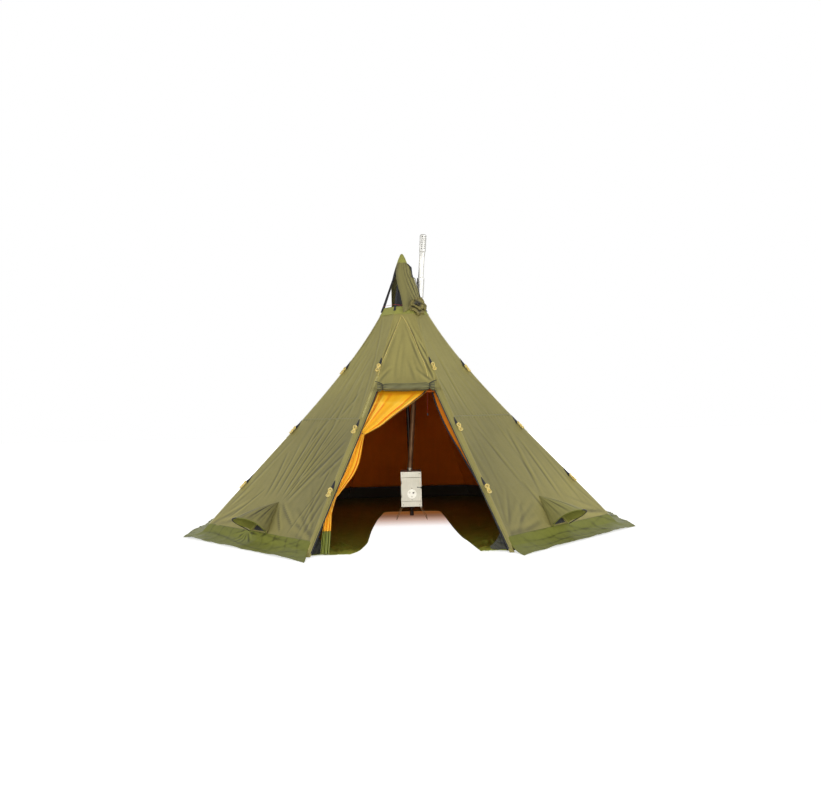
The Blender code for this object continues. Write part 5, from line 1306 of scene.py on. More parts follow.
for number in range(SIDES):
    turn = ridge_turn(number)
    start = POLE_HEAD + np.array([0, -0.03, 0.003]) @ turn
    bend = POLE_HEAD + np.array([0, -PATCH_RADIUS, 0.0]) @ turn
    over_rim = np.array([0, -(float(ridge(RIM_HEIGHT)) + 0.008), RIM_HEIGHT + 0.007]) @ turn
    low = np.array([0, -(float(ridge(2.4)) + 0.0075), 2.4]) @ turn
    line = np.concatenate([
        np.linspace(start, bend, 6, endpoint=False), np.linspace(bend, over_rim, 30, endpoint=False),
        np.linspace(over_rim, low, 8),
    ])
    # neighbouring points are averaged twice, so the strap bends and doesn't fold
    for _ in range(2):
        line[1:-1] = (line[:-2] + 2 * line[1:-1] + line[2:]) / 4
    across = np.array([1.0, 0, 0]) @ turn
    if number == 6:
        # this strap is twisted, so its face shows from the front
        twist = np.sin(np.linspace(0, math.pi, len(line)))[:, None] ** 0.4
        across = across + twist * (np.array([0.9, 0.0, -0.42]) - across)
        across = (across / np.linalg.norm(across, axis=1)[:, None])[:, None]
    wide = np.linspace(0.75, 1.0, len(line))[:, None] * np.linspace(-0.0125, 0.0125, 5)
    strap = surface(
        f"crown_strap_{number + 1}", line[:, None] + wide[..., None] * across, black_webbing,
        away_from=(0, 0, 2.3),
    )
    thicken(strap, 0.0014, 1.0)
    wear(strap, "tent", "webbing")
radius = np.linspace(0, PATCH_RADIUS * 0.9, 8)[:, None]
turn = np.linspace(0, 2 * math.pi, 48, endpoint=False)[None, :]
patch = grid_of(
    POLE_HEAD[0] + radius * np.sin(turn), -radius * np.cos(turn),
    2.9425 - 0.02 * (radius / PATCH_RADIUS) ** 4 + 0 * turn,
)
patch = surface("crown_patch", patch, black_webbing, wrap=True, merge=True)
thicken(patch, 0.0015, 1.0)
wear(patch, "tent", "webbing", "crown_webbing")
print("the rim hangs", round(float(POLE_HEAD[2] - RIM_HEIGHT), 2), "m under the pole's head")

# %% [markdown]
# ### The smoke cap
#
# A hood of cloth covers the smoke hole. Its lime tip sits on the pole's head. The front
# flap is pulled down tight to a point over the gable, and its right half is gathered.
# The back flap hangs slim behind. In plan the flap is a fan about the pole's head: the
# azimuth goes round, the radius grows on the way down, and pleats deepen where the
# cloth is gathered. Simulation could gather it, but not into the photograph's folds.

# %% Hang the cap's two flaps
cap_cloth = cloth("olive_cap_cloth", linear(112, 106, 58), 0.6, sheen=0.04, fold=0.56)
CAP_SEAM_HEIGHT = 2.99
CAP_SEAM_RADIUS = 0.06
CAP_TIP_HEIGHT = 3.1
CAP_RING_FOOT = 2.9
CAP_FRONT_FOOT = 2.37
CAP_LEFT_TURN = 50.0
CAP_RIGHT_TURN = 62.0
CAP_BACK_START = 148.0
CAP_BACK_END = 282.0
CAP_BACK_FOOT = 2.49


def cap_point(azimuth, radius, height):
    turn = np.radians(azimuth)
    x, y, z = np.broadcast_arrays(POLE_HEAD[0] + radius * np.sin(turn), -radius * np.cos(turn), height)
    return np.stack([x, y, z], axis=-1)


def front_radius(azimuth, height):
    """Straight from the tip's seam to just off the gable, fuller over the bunch."""
    foot = float(ridge(CAP_FRONT_FOOT)) * math.cos(HALF) + 0.02
    straight = (foot - CAP_SEAM_RADIUS) * (CAP_SEAM_HEIGHT - height) / (CAP_SEAM_HEIGHT - CAP_FRONT_FOOT)
    right = np.clip((azimuth - 20) / 25, 0, 1)
    near = np.clip(np.abs(height - 2.45) / 0.13, 0, 1)
    corner = np.interp(
        height, [2.45, 2.595, 2.7, 2.796, 2.812, 2.85, 2.93, 2.985],
        [0, 0.008, 0.02, 0.027, 0.008, 0.012, 0.034, 0],
    )
    return CAP_SEAM_RADIUS + straight + right * (0.015 * np.cos(math.pi / 2 * near) ** 2 + corner)


def front_flap(columns=170, lines=130):
    share = np.linspace(0, 1, columns)[None, :]
    down = np.linspace(0, 1, lines)[:, None]
    foot = CAP_FRONT_FOOT + np.interp(share, [0, 0.3, 0.55, 1], [0, 0.06, 0.05, 0.07])
    height = CAP_SEAM_HEIGHT + (foot - CAP_SEAM_HEIGHT) * down
    low = np.clip((CAP_RING_FOOT - height) / (CAP_RING_FOOT - CAP_FRONT_FOOT), 0, 1)
    left = -CAP_LEFT_TURN * (1 - low) ** 2.2
    azimuth = left + (CAP_RIGHT_TURN - left) * share
    radius = front_radius(azimuth, height)
    gathered = np.clip(3.0 * share - 1.1, 0, 1) * (0.35 + 0.75 * low)
    pleat = np.abs(np.sin(6.4 * math.pi * share + 1.3 * np.sin(4.4 * down) + 0.6)) ** 1.2 - 0.5
    small = 0.25 * np.sin(37 * share + 7 * down) * np.clip(low, 0, 1)
    soft = 0.0025 * np.sin(9 * share + 3 * down) * low
    rim = 0.004 * np.exp(-((share / 0.03) ** 2)) * low
    # painted shade and painted highlight along the gathered pleats, and painted stripes of both over the
    # flap's left part
    hidden = np.clip(-2.6 * gathered * (pleat + small), -0.8, 1)
    hidden = hidden + 0.25 * np.sin(14 * share + 3 * down) * (share < 0.4)
    return cap_point(azimuth, radius + 0.016 * gathered * (pleat + small) + soft + rim, height), hidden


flap, hidden = front_flap()
front = surface("cap_front", flap, cap_cloth, away_from=(-0.012, 0, 2.6), folds=hidden)
thicken(front, CLOTH)
wear(front, "tent", "canvas", "cap_body")

down = np.linspace(0, 1, 90)[:, None]
share = np.linspace(0, 1, 110)[None, :]
height = CAP_SEAM_HEIGHT + (CAP_BACK_FOOT - CAP_SEAM_HEIGHT) * down + 0.02 * down * np.sin(7 * share)
slim = CAP_SEAM_RADIUS + 0.076 * np.sin(math.pi / 2 * np.clip((CAP_SEAM_HEIGHT - height) / 0.33, 0, 1))
start = CAP_BACK_START - (CAP_BACK_START - CAP_RIGHT_TURN) * np.clip(1 - down * 5.5, 0, 1) ** 0.7
end = CAP_BACK_END + (360 - CAP_LEFT_TURN - CAP_BACK_END) * np.clip(1 - down * 5.5, 0, 1) ** 0.7
azimuth = start + (end - start) * share
hanging = 0.006 * down * np.cos(5 * math.pi * share + 1.0)
back = surface("cap_back", cap_point(azimuth, slim + hanging, height), cap_cloth, away_from=(-0.012, 0, 2.7))
thicken(back, CLOTH)
wear(back, "tent", "canvas")

rise = np.array([0.0, 0.02, 0.12, 0.26, 0.4, 0.55, 0.7, 0.84, 0.93, 0.98, 1.0])
full = np.array([1.02, 1.0, 0.93, 0.84, 0.74, 0.62, 0.49, 0.36, 0.24, 0.12, 0.0])
turn = np.linspace(0, 360, 64, endpoint=False)[None, :]
crown = cap_point(turn, (CAP_SEAM_RADIUS + 0.001) * full[:, None] * (1 + 0.02 * np.cos(np.radians(6 * turn))),
                  2.986 + (CAP_TIP_HEIGHT - 2.986) * rise[:, None])
tip = surface("cap_tip", crown, lime_cloth, wrap=True, merge=True)
thicken(tip, CLOTH)
wear(tip, "tent", "lime", "cap_peak")
print("the cap's tip is", CAP_TIP_HEIGHT, "m above the ground")

# %% [markdown]
# ### Edging, bunch and smoke mesh
#
# The front flap's right edge is bound in black, and its lower right part is gathered
# into a bunch beside the rim. Crumpled cloth is hard to draw: here a ball's radius is
# pushed in along sharp valleys, the absolute values of a few sines that run across it in
# different directions. Behind, a cone of black mesh keeps sparks and insects out.

# %% Bind the flap, bunch its corner and hang the mesh
height = np.linspace(2.975, 2.56, 90)
outer = CAP_RIGHT_TURN + 2.0
inner = outer - np.interp(height, [2.56, 2.79, 2.8, 2.86, 2.93, 2.975], [5.0, 5.0, 14.0, 10.0, 17.0, 14.0])
share = np.linspace(0, 1, 8)[:, None]
azimuth = inner + (outer - inner) * share
strip = cap_point(azimuth, front_radius(azimuth, height) + 0.007, height + 0 * azimuth).transpose(1, 0, 2)
binding = surface("cap_binding", strip, dark_edge, away_from=(0, 0, 2.6))
thicken(binding, 0.0016, 0.0)
wear(binding, "tent", "webbing")

polar = np.linspace(0, math.pi, 90)[:, None]
round_it = np.linspace(0, 2 * math.pi, 120, endpoint=False)[None, :]
ball = grid_of(
    np.sin(polar) * np.cos(round_it), np.sin(polar) * np.sin(round_it), np.cos(polar)
)
valleys = np.zeros(ball.shape[:2])
for direction, count, turn, deep in (
    ((0.4, -0.3, 0.95), 4.3, 0.4, 0.4), ((-0.8, 0.3, 0.5), 3.4, 1.9, 0.16),
    ((0.3, -0.8, 0.7), 8.7, 0.9, 0.07), ((1.0, 0.5, -0.8), 13.0, 2.6, 0.05),
):
    swirl = ball @ np.array(direction) * count + turn
    swirl = swirl + 0.9 * np.sin(4 * ball[..., 0] + 3 * ball[..., 2] + 5 * ball[..., 1])
    valleys += 1.25 * deep * (1 - np.abs(np.sin(swirl)) ** 0.6)
crumple = ball * (1.06 - valleys)[..., None] * np.array([0.098, 0.062, 0.108])
# painted shade in the bunch's valleys, and a painted highlight on its tops
bunch = surface(
    "cap_bunch", crumple + np.array([0.16, -0.262, 2.437]), bunch_cloth, wrap=True, merge=True,
    folds=3.6 * valleys - 0.45,
)
wear(bunch, "tent", "canvas")

foot = np.linspace(0, 1, 40)[:, None]
turn = np.linspace(0, 2 * math.pi, 72, endpoint=False)[None, :]
height = 2.44 + foot * (2.888 - 2.44)
lean = (0.036 + (POLE_HEAD[0] - 0.036) * height / 2.94, 0.23 * (1 - height / 2.94))
radius = (0.11 - 0.0905 * foot**0.8) * (
    1 + 0.07 * (1 - foot) * np.cos(4 * turn) + 0.02 * np.cos(13 * turn) * (1 - foot)
)
cone = grid_of(
    lean[0] * (0.3 + 0.7 * foot) + radius * np.sin(turn),
    lean[1] * (0.3 + 0.7 * foot) - radius * np.cos(turn), height,
)
net = surface("smoke_net", cone, mesh_cloth, wrap=True, away_from=(0, 0, 2.5))
thicken(net, 0.0008)
wear(net, "tent", "mesh", "smoke_mesh")
print("edging, bunch and mesh are in")

# %% [markdown]
# ## The inner tent
#
# The inner tent hangs a hand's breadth inside the outer one and has the same shape. Its
# cloth is thin and orange, and it is sewn to a floor whose edge goes up the walls like a
# tub. One function gives both tents, with the ridge moved inwards.

# %% Hang the inner walls
INNER_GAP = 0.07
INNER_TOP = 2.3
TUB_HEIGHT = 0.17
INNER_DOOR_TOP = 1.45


def inner_ridge(height):
    return ridge(height) - INNER_GAP


def inner_out(side, sideways, height):
    """Drawn in at the middle, with level wrinkles low down and long soft folds above."""
    across = np.clip(sideways / half_width(height, inner_ridge), -1, 1)
    inside = np.clip(4 * (1 - across**2), 0, 1)
    bow = -0.012 * (1 - across**2) * np.sin(math.pi * height / INNER_TOP)
    low = np.exp(-(((height - 0.45) / 0.3) ** 2))
    level = 0.0022 * np.sin(46 * height + 2.2 * np.sin(4 * sideways + side)) * low
    level = level * np.sin(2.7 * sideways + side)
    long = 0.003 * np.sin(13 * across + side + 1.5 * height)
    return bow + (level + long) * inside


for side in range(1, SIDES):
    height = np.linspace(TUB_HEIGHT + 0.001, INNER_TOP, 100)[:, None]
    sideways = np.linspace(-1, 1, 76)[None, :] * (half_width(height, inner_ridge) - 0.001)
    grid = on_side(side, sideways, height, inner_out(side, sideways, height), inner_ridge)
    panel = surface(f"inner_wall_{side}", grid, inner_cloth, away_from=(0, 0, 1.0))
    thicken(panel, 0.0008)
    wear(panel, "tent", "inner", f"inner_side_{side}")
for number in range(SIDES):
    height = np.linspace(TUB_HEIGHT, INNER_TOP, 60)[:, None]
    across = np.linspace(-0.007, 0.007, 5)[None, :]
    out = -0.0016 - np.abs(across) * math.tan(HALF)
    grid = grid_of(across, -(inner_ridge(height) + out), height) @ ridge_turn(number)
    seam = surface(f"inner_seam_{number + 1}", grid, inner_cloth, away_from=(0, 0, 1.0))
    thicken(seam, 0.0008)
    wear(seam, "tent", "inner")
print("the inner tent stands", INNER_GAP, "m inside the outer one")

# %% [markdown]
# ### Inner doorway
#
# The doorway of the inner tent is a tall trapezium, wider at its foot. Above it is a
# gable, beside it a strip down each ridge, and round it a black zip.

# %% Sew the inner gable, door strips and collar
INNER_DOOR_HALF = 0.28
INNER_DOOR_CLOSE = 0.62


def inner_edge_half(height):
    """Half the doorway's width, which closes on the ridges low down."""
    height = np.minimum(height, INNER_DOOR_TOP)
    edge = half_width(height, inner_ridge)
    low = float(half_width(INNER_DOOR_CLOSE, inner_ridge))
    share = (INNER_DOOR_TOP - height) / (INNER_DOOR_TOP - INNER_DOOR_CLOSE)
    return np.minimum(INNER_DOOR_HALF + (low - INNER_DOOR_HALF) * share, edge - 0.02)


height = np.linspace(INNER_DOOR_TOP, INNER_TOP, 60)[:, None]
sideways = np.linspace(-1, 1, 60)[None, :] * half_width(height, inner_ridge)
inner_gable = surface(
    "inner_gable", on_side(0, sideways, height, inner_out(0, sideways, height), inner_ridge), inner_cloth,
    away_from=(0, 0, 1.0),
)
thicken(inner_gable, 0.0008)
wear(inner_gable, "tent", "inner", "inner_front")


def strip_edge(hand, height):
    """The right strip hangs loose, so its edge bows into the doorway."""
    share = np.clip((INNER_DOOR_TOP - height) / (INNER_DOOR_TOP - 0.55), 0, 1)
    return inner_edge_half(height) - (0.052 * np.sin(math.pi * share**0.85) if hand > 0 else 0.0)


for name, hand in (("left", -1), ("right", 1)):
    height = np.linspace(0.006, INNER_DOOR_TOP, 110)[:, None]
    share = np.linspace(0, 1, 10)[None, :]
    reach = half_width(height, inner_ridge) * (1 - share) + strip_edge(hand, height) * share
    loose = 0.004 * share * np.sin(7 * height + 1.0) + 0.002 * share * np.sin(23 * height)
    grid = on_side(0, hand * reach, height, loose, inner_ridge)
    strip = surface(f"inner_door_strip_{name}", grid, strip_cloth, away_from=(0, 0, 1.0))
    thicken(strip, 0.0008)
    wear(strip, "tent", "inner")
    height = height[:, 0]
    across = np.linspace(-0.008, 0.008, 5)[None, :]
    loose = (0.004 * np.sin(7 * height + 1.0) + 0.002 * np.sin(23 * height))[:, None]
    grid = on_side(
        0, hand * strip_edge(hand, height)[:, None] + across, height[:, None], loose + 0.0006,
        inner_ridge,
    )
    tape = surface(f"inner_zip_{name}", grid, black_webbing, away_from=(0, 0, 1.0))
    thicken(tape, 0.0012, 1.0)
    wear(tape, "tent", "webbing")
columns = np.linspace(-1, 1, 10, endpoint=False)[None, :]
rings = []
for inset, level in ((0.0, 2.3025), (0.35, 2.304), (0.7, 2.3035), (1.0, 2.3018)):
    outer = float(ridge(2.303)) - 0.009
    inner = float(inner_ridge(INNER_TOP)) - 0.012
    radius = outer + (inner - outer) * inset
    rings.append(np.concatenate([
        on_side(
            side, columns * radius * math.sin(HALF), np.full((1, 1), level),
            radius=lambda h, r=radius: np.full_like(h, r),
        )
        for side in range(SIDES)
    ], axis=1)[0])
collar = surface("inner_collar", np.array(rings), inner_cloth, wrap=True, away_from=(0, 0, 0))
thicken(collar, 0.0012)
wear(collar, "tent", "inner", "inner_crown")
print("inner doorway:", INNER_DOOR_HALF * 2, "m wide at its top")

# %% [markdown]
# ### Inner door, drawn aside
#
# The inner door is unzipped, swept to the left and tied. Above the tie its folds fan out
# from one point; below, it hangs as a narrow gathered curtain with a second pinch. The
# grid runs from the left edge to the free edge, both read off the photograph, and the
# folds are a sharpened cosine across it. Its depth grows between the places that hold it.

# %% Drape the inner door
# stations down the door: share of the way, then x and z of the left and the free edge
DOOR_STATIONS = np.array([
    (0.00, -0.284, 1.486, 0.236, 1.486), (0.05, -0.302, 1.430, 0.190, 1.430),
    (0.09, -0.314, 1.393, 0.130, 1.389), (0.17, -0.340, 1.330, 0.030, 1.315),
    (0.27, -0.378, 1.245, -0.128, 1.212), (0.36, -0.418, 1.165, -0.262, 1.110),
    (0.43, -0.452, 1.095, -0.378, 1.052),
    (0.47, -0.476, 1.052, -0.428, 1.034), (0.52, -0.500, 0.985, -0.444, 0.975),
    (0.58, -0.534, 0.904, -0.470, 0.894),
    (0.66, -0.584, 0.765, -0.520, 0.750), (0.72, -0.622, 0.665, -0.558, 0.650),
    (0.79, -0.690, 0.545, -0.636, 0.520),
    (0.84, -0.743, 0.430, -0.712, 0.422), (0.90, -0.772, 0.290, -0.706, 0.290),
    (0.96, -0.782, 0.130, -0.704, 0.130),
    (1.00, -0.782, 0.020, -0.706, 0.022),
])


def door_grid(columns=150, lines=220):
    down = np.linspace(0, 1, lines)
    spots = [np.interp(down, DOOR_STATIONS[:, 0], DOOR_STATIONS[:, k]) for k in range(1, 5)]
    # the stations' corners are rounded by averaging along the door
    kernel = np.ones(9) / 9
    spots = [np.convolve(np.pad(v, 4, mode="reflect", reflect_type="odd"), kernel, "valid") for v in spots]
    share = np.linspace(0, 1, columns)[None, :]
    left_x, left_z, free_x, free_z = (v[:, None] for v in spots)
    free_x = free_x + 0.045 * np.exp(-(((free_z - 0.74) / 0.19) ** 2))
    x = left_x + (free_x - left_x) * share
    z = left_z + (free_z - left_z) * share
    down = down[:, None]
    tie = np.exp(-(((down - 0.465) / 0.05) ** 2)) + 0.8 * np.exp(-(((down - 0.84) / 0.03) ** 2))
    above = np.clip((0.465 - down) / 0.465, 0, 1)
    phase = 2 * math.pi * (3.4 * share + 0.3 * np.sin(2.1 * math.pi * share))
    main = np.cos(phase + 1.1 * above + 0.4)
    main = main + 0.3 * np.cos(2.7 * phase + 2.2 * down + 1.0) * (1 - 0.6 * above)
    depth = np.where(down < 0.465, 0.0115 * np.sin(math.pi * np.clip(1 - above, 0, 1)) ** 0.8, 0.012)
    depth = depth * np.clip(down / 0.06, 0, 1)
    fine = 0.003 * crumples(share * (0.25 + 0.75 * above), down, 77, 6, 0.22, 3.0) * np.clip(down * 10, 0, 1)
    curl = 0.012 * np.exp(-(((1 - share) / 0.12) ** 2)) * np.clip(down / 0.12, 0, 1) * (down < 0.47)
    out = 0.004 + 0.028 * np.clip((down - 0.04) / 0.1, 0, 1)
    out = out + depth * main * (1 - 0.35 * np.clip(tie, 0, 1)) + fine + curl
    z = np.maximum(z - 0.008 * np.sin(math.pi * share) * np.clip(above * 3, 0, 1) * (1 - above), 0.014)
    # the rest of the cloth lies in pleats behind the sewn edge
    pleat = np.linspace(1, 0, 60, endpoint=False)[None, :]
    back = 0.004 + 0.05 * (0.5 - 0.5 * np.cos(9 * math.pi * pleat)) * np.clip(down / 0.08, 0.2, 1)
    x = np.concatenate([left_x + 0.055 * pleat, x], 1)
    z = np.concatenate([z[:, :1] + 0 * pleat, z], 1)
    out = np.concatenate([out[:, :1] - back * np.clip(pleat * 12, 0, 1), out], 1)
    return on_side(0, x, z, out, inner_ridge)


cloth_grid = door_grid()
hidden = fold_depth(side_relief(0, cloth_grid) - inner_ridge(cloth_grid[..., 2]) * math.cos(HALF), 9, 0.006)
sill = int(np.argmax(cloth_grid[:, 120, 2] < 0.2))
drape = surface(
    "inner_door_drawn", cloth_grid[: sill + 1], drape_cloth, away_from=(0, 0, 0.8),
    folds=hidden[: sill + 1],
)
thicken(drape, 0.0008, 0.0)
wear(drape, "tent", "drape", "inner_door")
kick = surface("inner_door_foot", cloth_grid[sill:], floor_cloth, away_from=(0, 0, 0.0), folds=hidden[sill:])
thicken(kick, 0.001, 0.0)
wear(kick, "tent", "drape")
edge = cloth_grid[4:96, -8:-1]
tape = surface("inner_door_zip", edge, black_webbing, away_from=(0, 0, 0.8))
thicken(tape, 0.0022, 0.0)
wear(tape, "tent", "webbing")
ring = np.linspace(0, 2 * math.pi, 48)
middle = on_side(0, -0.452, 1.043, 0.03, inner_ridge)
hold = middle + 0.031 * np.cos(ring)[:, None] * np.array([0.93, 0, -0.36])
hold = hold + 0.021 * np.sin(ring)[:, None] * np.array([0, -1.0, 0])
hold = hold + np.linspace(0, 0.006, 48)[:, None] * np.array([0.36, 0, 0.93])
tie = tube("inner_door_tie", hold, 0.003, black_webbing, 8)
wear(tie, "tent", "webbing")
print("the inner door hangs from", INNER_DOOR_TOP, "m")

# %% [markdown]
# ### Floor
#
# The floor is heavy coated cloth, cut away in a long slot so that the stove stands on
# bare ground. It is a ruled surface: each point lies between a point of the slot's edge
# and a point of the tent's outline. It wrinkles where people step in, and its sides go
# up the walls like a tub. Beside the doorway the tub ends in a folded corner on each side.

# %% Lay the floor and its sides
SLOT_EDGE = [
    (-0.53, -2.118), (-0.455, -1.95), (-0.405, -1.6), (-0.40, -1.35), (-0.395, -0.8),
    (-0.365, -0.1), (-0.33, 0.3),
    (-0.31, 0.5), (-0.27, 0.56), (-0.15, 0.575), (0.035, 0.575), (0.22, 0.575), (0.34, 0.56), (0.385, 0.5),
    (0.405, 0.3), (0.43, -0.1), (0.47, -0.8), (0.515, -1.35), (0.555, -1.6), (0.605, -1.95), (0.63, -2.118),
]


def floor_grid(columns=300, lines=70):
    slot = smooth_path(np.array([(x, y, 0.0) for x, y in SLOT_EDGE]), columns)
    radius = float(inner_ridge(0.0)) - 0.001
    angle = (2 * np.arange(SIDES) + 1) * HALF
    corners = np.stack([radius * np.sin(angle), -radius * np.cos(angle), 0 * angle], 1)
    outline = corners[::-1]
    run = np.concatenate([[0], np.cumsum(np.linalg.norm(np.diff(outline, axis=0), axis=1))])
    # the outline's two ends are the door's corners, and its middle is the back
    spots = np.linspace(0, 1, columns)
    eased = np.interp(spots, [0, 0.4, 0.6, 1], [0, 0.4, 0.6, 1])
    outer = np.stack([np.interp(eased * run[-1], run, outline[:, axis]) for axis in range(3)], 1)
    share = np.linspace(0, 1, lines)[:, None, None]
    grid = slot[None] + (outer - slot)[None] * share
    x, y = grid[..., 0], grid[..., 1]
    front = np.clip((-y - 0.9) / 1.0, 0, 1)
    edge = np.clip(share[..., 0] * 9, 0, 1)
    wave = np.abs(np.sin(5.3 * x + 2.1 * np.sin(2.9 * y)) * np.sin(3.7 * y + 1.9 * np.sin(3.1 * x + 1)))
    lines_on = [
        (-0.62, -2.05, -0.75, -1.2, 0.03, 0.007), (-0.7, -2.1, -1.0, -1.5, 0.035, 0.008),
        (-0.56, -1.9, -0.7, -1.5, 0.02, 0.006),
        (-0.85, -2.0, -0.6, -1.6, 0.03, 0.007), (0.7, -2.05, 0.8, -1.3, 0.03, 0.008),
        (0.66, -2.0, 0.95, -1.7, 0.025, 0.007),
        (0.6, -1.7, 0.85, -1.2, 0.025, 0.006), (0.85, -2.05, 0.72, -1.5, 0.03, 0.008),
        (-0.5, -1.2, -0.9, -0.9, 0.03, 0.004),
        (0.55, -1.0, 0.9, -0.7, 0.03, 0.004), (0.0, 0.7, 0.3, 1.6, 0.04, 0.004),
        (-0.9, 0.2, -1.6, 0.5, 0.04, 0.004),
    ]
    folded = creases(x, y, lines_on)
    rough = crumples(x, y, 31, 7, 0.22, 2.5) + 0.5 * crumples(x, y, 32, 6, 0.09, 2.5)
    lift = 0.0016 + (0.004 * wave + 0.02 * rough * (0.12 + 0.88 * front) + np.abs(folded) * 1.2) * edge
    lift = lift * np.clip((1 - share[..., 0]) * 14, 0.25, 1)
    grid[..., 2] = np.maximum(lift, 0.0016)
    # painted highlights on the crumples near the door and along the front edge, in the floor cloth's pale
    # crest colour
    near = np.clip((-y - 1.93) / 0.1, 0, 1)
    return grid, np.clip(-1.4 * rough * front - 0.7 * near, -1, 1)


laid, hidden = floor_grid()
floor = surface("floor_sheet", laid, floor_cloth, away_from=(0, 0, -5.0), folds=hidden)
thicken(floor, 0.001)
wear(floor, "tent", "floor", "ground_sheet")
for side in range(1, SIDES):
    height = np.linspace(0.002, TUB_HEIGHT, 22)[:, None]
    sideways = np.linspace(-1, 1, 90)[None, :] * half_width(height, inner_ridge)
    inside = np.clip(4 * (1 - (sideways / half_width(height, inner_ridge)) ** 2), 0, 1)
    out = -0.001 + 0.004 * inside * np.sin(11 * sideways + side) * np.sin(math.pi * height / TUB_HEIGHT)
    tub = surface(
        f"tub_side_{side}", on_side(side, sideways, height, out, inner_ridge), tub_cloth,
        away_from=(0, 0, 1.0),
    )
    thicken(tub, 0.001)
    wear(tub, "tent", "floor")
for name, hand in (("left", -1), ("right", 1)):
    share = np.linspace(0, 1, 50)[None, :]
    height = 0.004 + np.linspace(0, 1, 40)[:, None] * (0.03 + (TUB_HEIGHT - 0.034) * (1 - share) ** 1.3)
    reach = half_width(height, inner_ridge) - share * 0.16
    rough = crumples(share * 0.3, height, 60 + int(hand), 6, 0.07, 2.0)
    out = -0.004 - share * 0.07 * (1 - height / TUB_HEIGHT) - 0.014 * rough * np.clip(share * 5, 0, 1)
    # the fold depth is raised by 0.4 all over, so painted shade covers the whole corner
    corner = surface(
        f"tub_corner_{name}", on_side(0, hand * reach, height, out, inner_ridge), corner_cloth,
        away_from=(0, 0, 1.0),
        folds=1.6 * rough + 0.4,
    )
    thicken(corner, 0.001)
    wear(corner, "tent", "floor")
print("the floor's sides go up", TUB_HEIGHT, "m")

# %% [markdown]
# ## Vent hoods
#
# Each wall beside the door has a low vent under a small hood: a cone of cloth from a
# point on the wall to a stiff arch, lined in lime, with mesh behind it and a rod that
# props it open. The cone is ruled from its peak to the arch, and sags between.

# %% Sew the vent hoods
HOOD_HALF = 0.15
HOOD_BULGE = 0.05
HOOD_FOOT = 0.118
HOOD_OUT = 0.225
HOOD_UP = 0.168
HOOD_PEAK = 0.39


def on_wall(side, sideways, height, lift=0.0006):
    sideways, height = np.broadcast_arrays(np.asarray(sideways, float), np.asarray(height, float))
    return on_side(side, sideways, height, wall_out(side, sideways, height) + lift)


def hood_arch(side, turn, trim=0.0):
    """From foot to foot: sideways is a cosine, outwards and upwards are sines."""
    bow = np.maximum(np.sin(turn), 0)
    reach = bow**1.2 * (1 + (0.4 if side == 7 else -0.4) * np.cos(turn))
    shift = -0.04 if side == 1 else 0.04
    wide = HOOD_HALF - trim + HOOD_BULGE * np.sin(turn) ** 2
    foot = on_wall(side, shift - wide * np.cos(turn), HOOD_FOOT + 0 * turn)
    outward, _ = directions(side)
    forward = ((HOOD_OUT - trim) * reach)[..., None] * outward
    return foot + forward + ((HOOD_UP - trim) * bow**1.1)[..., None] * UP


def hood_grid(side, trim=0.0, inset=0.0):
    lean = -0.05 if side == 1 else 0.05
    outward, _ = directions(side)
    peak = on_wall(side, lean, HOOD_PEAK - inset) + outward * 0.0015
    turn = np.linspace(0, math.pi, 110)
    share = np.linspace(0.0, 1, 60)[:, None]
    arch = hood_arch(side, turn, trim)
    grid = peak + share[..., None] * (arch - peak)
    sag = -0.014 * np.sin(math.pi * share) * np.sin(turn) ** 2
    folds = 0.006 * np.sin(math.pi * np.clip(share, 0, 1)) ** 0.7 * np.sin(turn) ** 0.5 * (
        0.9 * np.cos(7 * turn + 2 * share) + 0.8 * np.cos(15 * turn + 1.0 - 3 * share)
        + 0.3 * np.cos(31 * turn)
    )
    grid = grid - (sag + inset * 0.3)[..., None] * UP
    grid = grid + (folds - inset)[..., None] * outward * np.sin(turn)[None, :, None] ** 0.5
    # the two side edges are sewn down, so they follow the wall
    along = directions(side)[1]
    sewn = on_wall(side, grid @ along, grid[..., 2], 0.001)
    hold = (1 - np.clip(np.sin(turn) * 2.2, 0, 1)) ** 1.5
    hold = np.maximum(hold[None, :], (1 - np.clip(share * 9, 0, 1)) ** 1.5)
    return grid + hold[..., None] * (sewn - grid), (
        fold_depth(folds + 0.004 * crumples(3 * turn[None, :] / math.pi, share, 90 + side, 5, 0.5), 3, 0.003)
        * np.clip(2.5 * np.sin(turn) - 0.2, 0, 1)
    )


